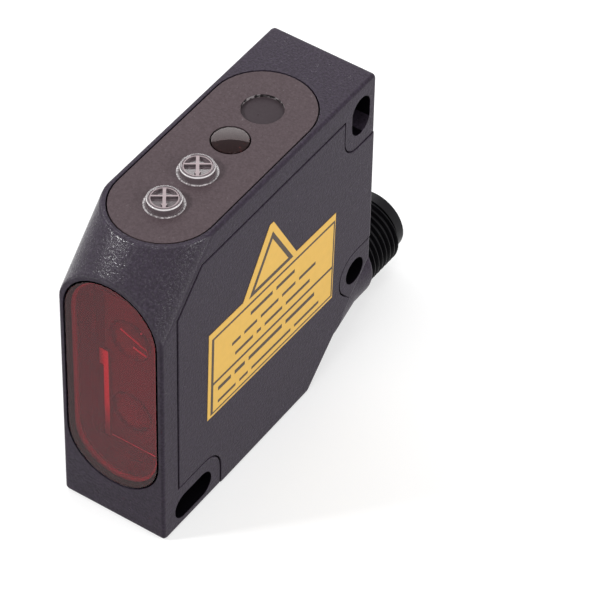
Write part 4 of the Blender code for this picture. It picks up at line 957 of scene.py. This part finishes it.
class SENSOR_OT_label(SensorOperator):
    """Yellow film label with a pointed tab, printed with plain lines and bars only"""
    bl_idname = "sensor.label"
    bl_label = "Label"

    length: length_property("Length", 0.0302, "Length of the label's rectangle")
    height: length_property("Height", 0.01615, "Height of the label's rectangle")
    tab_start: length_property("Tab start", 0.0079, "From the label's front edge to its tab")
    tab_width: length_property("Tab width", 0.0127, "Width of the tab at its foot")
    tab_height: length_property("Tab height", 0.0099, "Height of the tab")
    tab_tip: length_property("Tab tip", 0.0009, "Width of the tab's blunt tip")
    sign_width: length_property("Sign border", 0.00068, "Width of the triangle's border")
    tilt: number_property("Tilt", -1.55, "How far the label hangs out of level, in degrees")

    def execute(self, context):
        film = self.outline()
        vinyl = printed_film("printed_vinyl", colours().vinyl)
        ink = printed_film("screen_printed_ink", colours().ink, 0.5)
        self.lay_on_cover(film, sizes().label_film)
        finish_piece(film, "sensor", "yellow_vinyl", vinyl, "side_label")
        printed = self.printed_shapes()
        self.lay_on_cover(printed, sizes().ink_film, sizes().label_film - sizes().ink_film / 4)
        finish_piece(printed, "sensor", "yellow_vinyl", ink)
        return {"FINISHED"}

    def outline(self):
        """Rectangle drawn in the XY plane, with its tab pulled out of the top edge."""
        film = flat_rectangle("label_film", 0, 0, self.length, self.height)
        with editing(film):
            for across in (self.tab_start, self.tab_start + self.tab_width):
                bpy.ops.mesh.select_all(action="SELECT")
                bpy.ops.mesh.bisect(plane_co=(across, 0, 0), plane_no=(1, 0, 0))
        unselect_mesh(film)
        middle = self.tab_start + self.tab_width / 2
        for edge in film.data.edges:
            ends = [film.data.vertices[i].co for i in edge.vertices]
            centre = (ends[0] + ends[1]) / 2
            on_top = abs(centre.y - self.height) < SAME_PLACE
            edge.select = on_top and abs(centre.x - middle) < SAME_PLACE
        with editing(film, None):
            pull(0, self.tab_height, 0)
            bpy.ops.transform.resize(
                value=(self.tab_tip / self.tab_width, 1, 1),
                center_override=(middle, self.height + self.tab_height, 0),
            )
            bpy.ops.mesh.select_all(action="SELECT")
            bpy.ops.mesh.dissolve_limited(angle_limit=math.radians(1))
        return film

    def printed_shapes(self):
        """Key line, divider, triangle border and rows of plain bars, joined into one flat piece."""
        # The key line is thicker at the left and the head, as it is printed there.
        left, right, foot, head = 0.00072, self.length - 0.00016, 0.00042, self.height - 0.00124
        inner_left, inner_right = left + 0.00052, right - 0.00026
        divider = 0.00588
        border = border_of(flat_triangle("sign_border", 0.00525, 0.0086), self.sign_width)
        shapes = [
            flat_rectangle("key_left", left, foot, inner_left, head),
            flat_rectangle("key_right", inner_right, foot, right, head),
            flat_rectangle("key_foot", inner_left, foot, inner_right, foot + 0.00028),
            flat_rectangle("key_head", inner_left, head - 0.00040, inner_right, head),
            flat_rectangle("divider", inner_left, divider, inner_right, divider + 0.00044),
            move_along(border, (self.tab_start + self.tab_width / 2 + 0.0003, self.height - 0.00035, 0)),
        ]
        # Each row: height of its foot, bar height, where it starts, and the lengths of its bars.
        rows = (
            (0.01245, 0.00062, 0.0098, (0.0052, 0.0044)),
            (0.01000, 0.00055, 0.0055, (0.0020, 0.0030, 0.0042, 0.0032, 0.0040)),
            (0.00770, 0.00055, 0.0063, (0.0042, 0.0010, 0.0042, 0.0058)),
            (0.00400, 0.00070, 0.0024, (0.0030, 0.0024, 0.0080, 0.0070)),
            (0.00165, 0.00050, 0.0024, (0.0042, 0.0020, 0.0094, 0.0060)),
        )
        gap = 0.0009
        for foot, bar, start, lengths in rows:
            for bar_length in lengths:
                shapes.append(flat_rectangle("bar", start, foot, start + bar_length, foot + bar))
                start += bar_length + gap
        deselect()
        for shape in shapes:
            shape.select_set(True)
        bpy.context.view_layer.objects.active = shapes[0]
        bpy.ops.object.join()
        return name_active("label_print")

    def lay_on_cover(self, obj, thickness, lift=0.0):
        """Gives a flat shape its thickness and lays it on the cover, tilted as the label is."""
        thicken(obj, thickness)
        # Turns X, Y and Z of the drawing into Y, Z and X of the part
        upright = Matrix(((0, 0, 1, 0), (1, 0, 0, 0), (0, 1, 0, 0), (0, 0, 0, 1)))
        corner = Vector((COVER_HIGH.x + lift, HOUSING_LOW.y + 0.01006, HOUSING_LOW.z + 0.01555))
        tilted = Matrix.Rotation(math.radians(self.tilt), 4, "X")
        obj.matrix_world = Matrix.Translation(corner) @ tilted @ upright
        settle(obj)


class SENSOR_OT_stage(SensorOperator):
    """Pale floor, soft studio light and the camera"""
    bl_idname = "sensor.stage"
    bl_label = "Stage"

    def execute(self, context):
        view = context.scene.sensor_view
        context.scene.view_settings.view_transform = "Standard"
        self.floor(view)
        self.world(view)
        # The back box is mirrored in the top, the hood box glints in the hood's skin, and the others light
        # the top and the cover to a plain level.
        self.lamp("back_softbox", (-0.253, 0.348, 0.307), (0.50, 0.23), 1.2)
        self.lamp("hood_softbox", (-0.32, -0.32, 0.40), (0.09, 0.09), 2.4)
        self.lamp("top_softbox", (0.06, 0.00, 0.60), (0.14, 0.14), 0.45)
        self.lamp("side_softbox", (0.60, 0.10, 0.30), (0.40, 0.40), 2.6)
        deselect()
        bpy.ops.object.camera_add(location=view.location, rotation=view.rotation)
        camera = bpy.context.object
        camera.name = "photo_camera"
        camera.data.lens = view.lens
        camera.data.clip_start = 0.01
        camera.data.clip_end = 10
        context.scene.camera = camera
        return {"FINISHED"}

    def seen_directly(self, tree):
        """1 for a camera, glossy or transmission ray, and 0 for the light that falls on the object."""
        paths = add_node(tree, "ShaderNodeLightPath").outputs
        seen = paths["Is Camera Ray"]
        for kind in ("Is Glossy Ray", "Is Transmission Ray"):
            either = {0: seen, 1: paths[kind]}
            seen = add_node(tree, "ShaderNodeMath", {"operation": "MAXIMUM"}, either).outputs["Value"]
        return seen

    def floor(self, view):
        """Matt paint. What a camera sees of it is lifted to white, and it keeps the object's shadow."""
        deselect()
        bpy.ops.mesh.primitive_plane_add(size=6, location=(0, 0, HOUSING_LOW.z - 0.0001))
        floor = name_active("floor")
        settle(floor)
        material, tree, skin, place = new_material(
            "painted_floor", Base_Color=(0.48, 0.48, 0.48), Roughness=0.9, Emission_Color=(1, 1, 1)
        )
        lift = {0: self.seen_directly(tree), 1: view.floor_lift}
        add_node(tree, "ShaderNodeMath", {"operation": "MULTIPLY"}, lift, to=skin["Emission Strength"])
        floor.data.materials.append(material)

    def world(self, view):
        """Even light from all round, which a camera sees as white."""
        world = bpy.data.worlds.new("studio")
        bpy.context.scene.world = world
        world.use_nodes = True
        background = world.node_tree.nodes["Background"].inputs
        background["Color"].default_value = (1, 1, 1, 1)
        seen = self.seen_directly(world.node_tree)
        ends = {"Value": seen, "To Min": view.soft_light, "To Max": 1.0}
        add_node(world.node_tree, "ShaderNodeMapRange", inputs=ends, to=background["Strength"])

    def lamp(self, name, location, size, power):
        deselect()
        bpy.ops.object.light_add(type="AREA", location=location)
        lamp = bpy.context.object
        lamp.name = name
        lamp.data.shape = "RECTANGLE"
        lamp.data.size, lamp.data.size_y = size
        lamp.data.energy = power
        target = Vector((0, 0, HOUSING_HIGH.z / 2))
        lamp.rotation_euler = (target - Vector(location)).to_track_quat("-Z", "Y").to_euler()


class SENSOR_PT_panel(bpy.types.Panel):
    """Sensor panel in the sidebar"""
    bl_idname = "SENSOR_PT_panel"
    bl_label = "Sensor"
    bl_space_type = "VIEW_3D"
    bl_region_type = "UI"
    bl_category = "Sensor"

    def draw(self, context):
        for group_name in GROUPS:
            group = getattr(context.scene, group_name)
            for name in group.bl_rna.properties.keys():
                if name not in ("rna_type", "name"):
                    self.layout.prop(group, name)
        for operator in OPERATORS:
            self.layout.operator(operator.bl_idname)


GROUPS = {"sensor_sizes": SensorSizes, "sensor_colours": SensorColours, "sensor_view": SensorView}
OPERATORS = (
    SENSOR_OT_stage, SENSOR_OT_shell, SENSOR_OT_control_plate, SENSOR_OT_window, SENSOR_OT_controls,
    SENSOR_OT_plug, SENSOR_OT_boards, SENSOR_OT_label,
)


CLASSES = (*GROUPS.values(), *OPERATORS, SENSOR_PT_panel)


def register():
    for item in CLASSES:
        bpy.utils.register_class(item)
    for name, group in GROUPS.items():
        setattr(bpy.types.Scene, name, bpy.props.PointerProperty(type=group))


def unregister():
    for name in GROUPS:
        delattr(bpy.types.Scene, name)
    for item in reversed(CLASSES):
        bpy.utils.unregister_class(item)


def main():
    register()
    bpy.ops.sensor.stage()
    bpy.ops.sensor.shell()
    bpy.ops.sensor.control_plate()
    bpy.ops.sensor.window()
    bpy.ops.sensor.controls()
    bpy.ops.sensor.plug()
    bpy.ops.sensor.boards()
    bpy.ops.sensor.label()


if __name__ == "__main__":
    main()
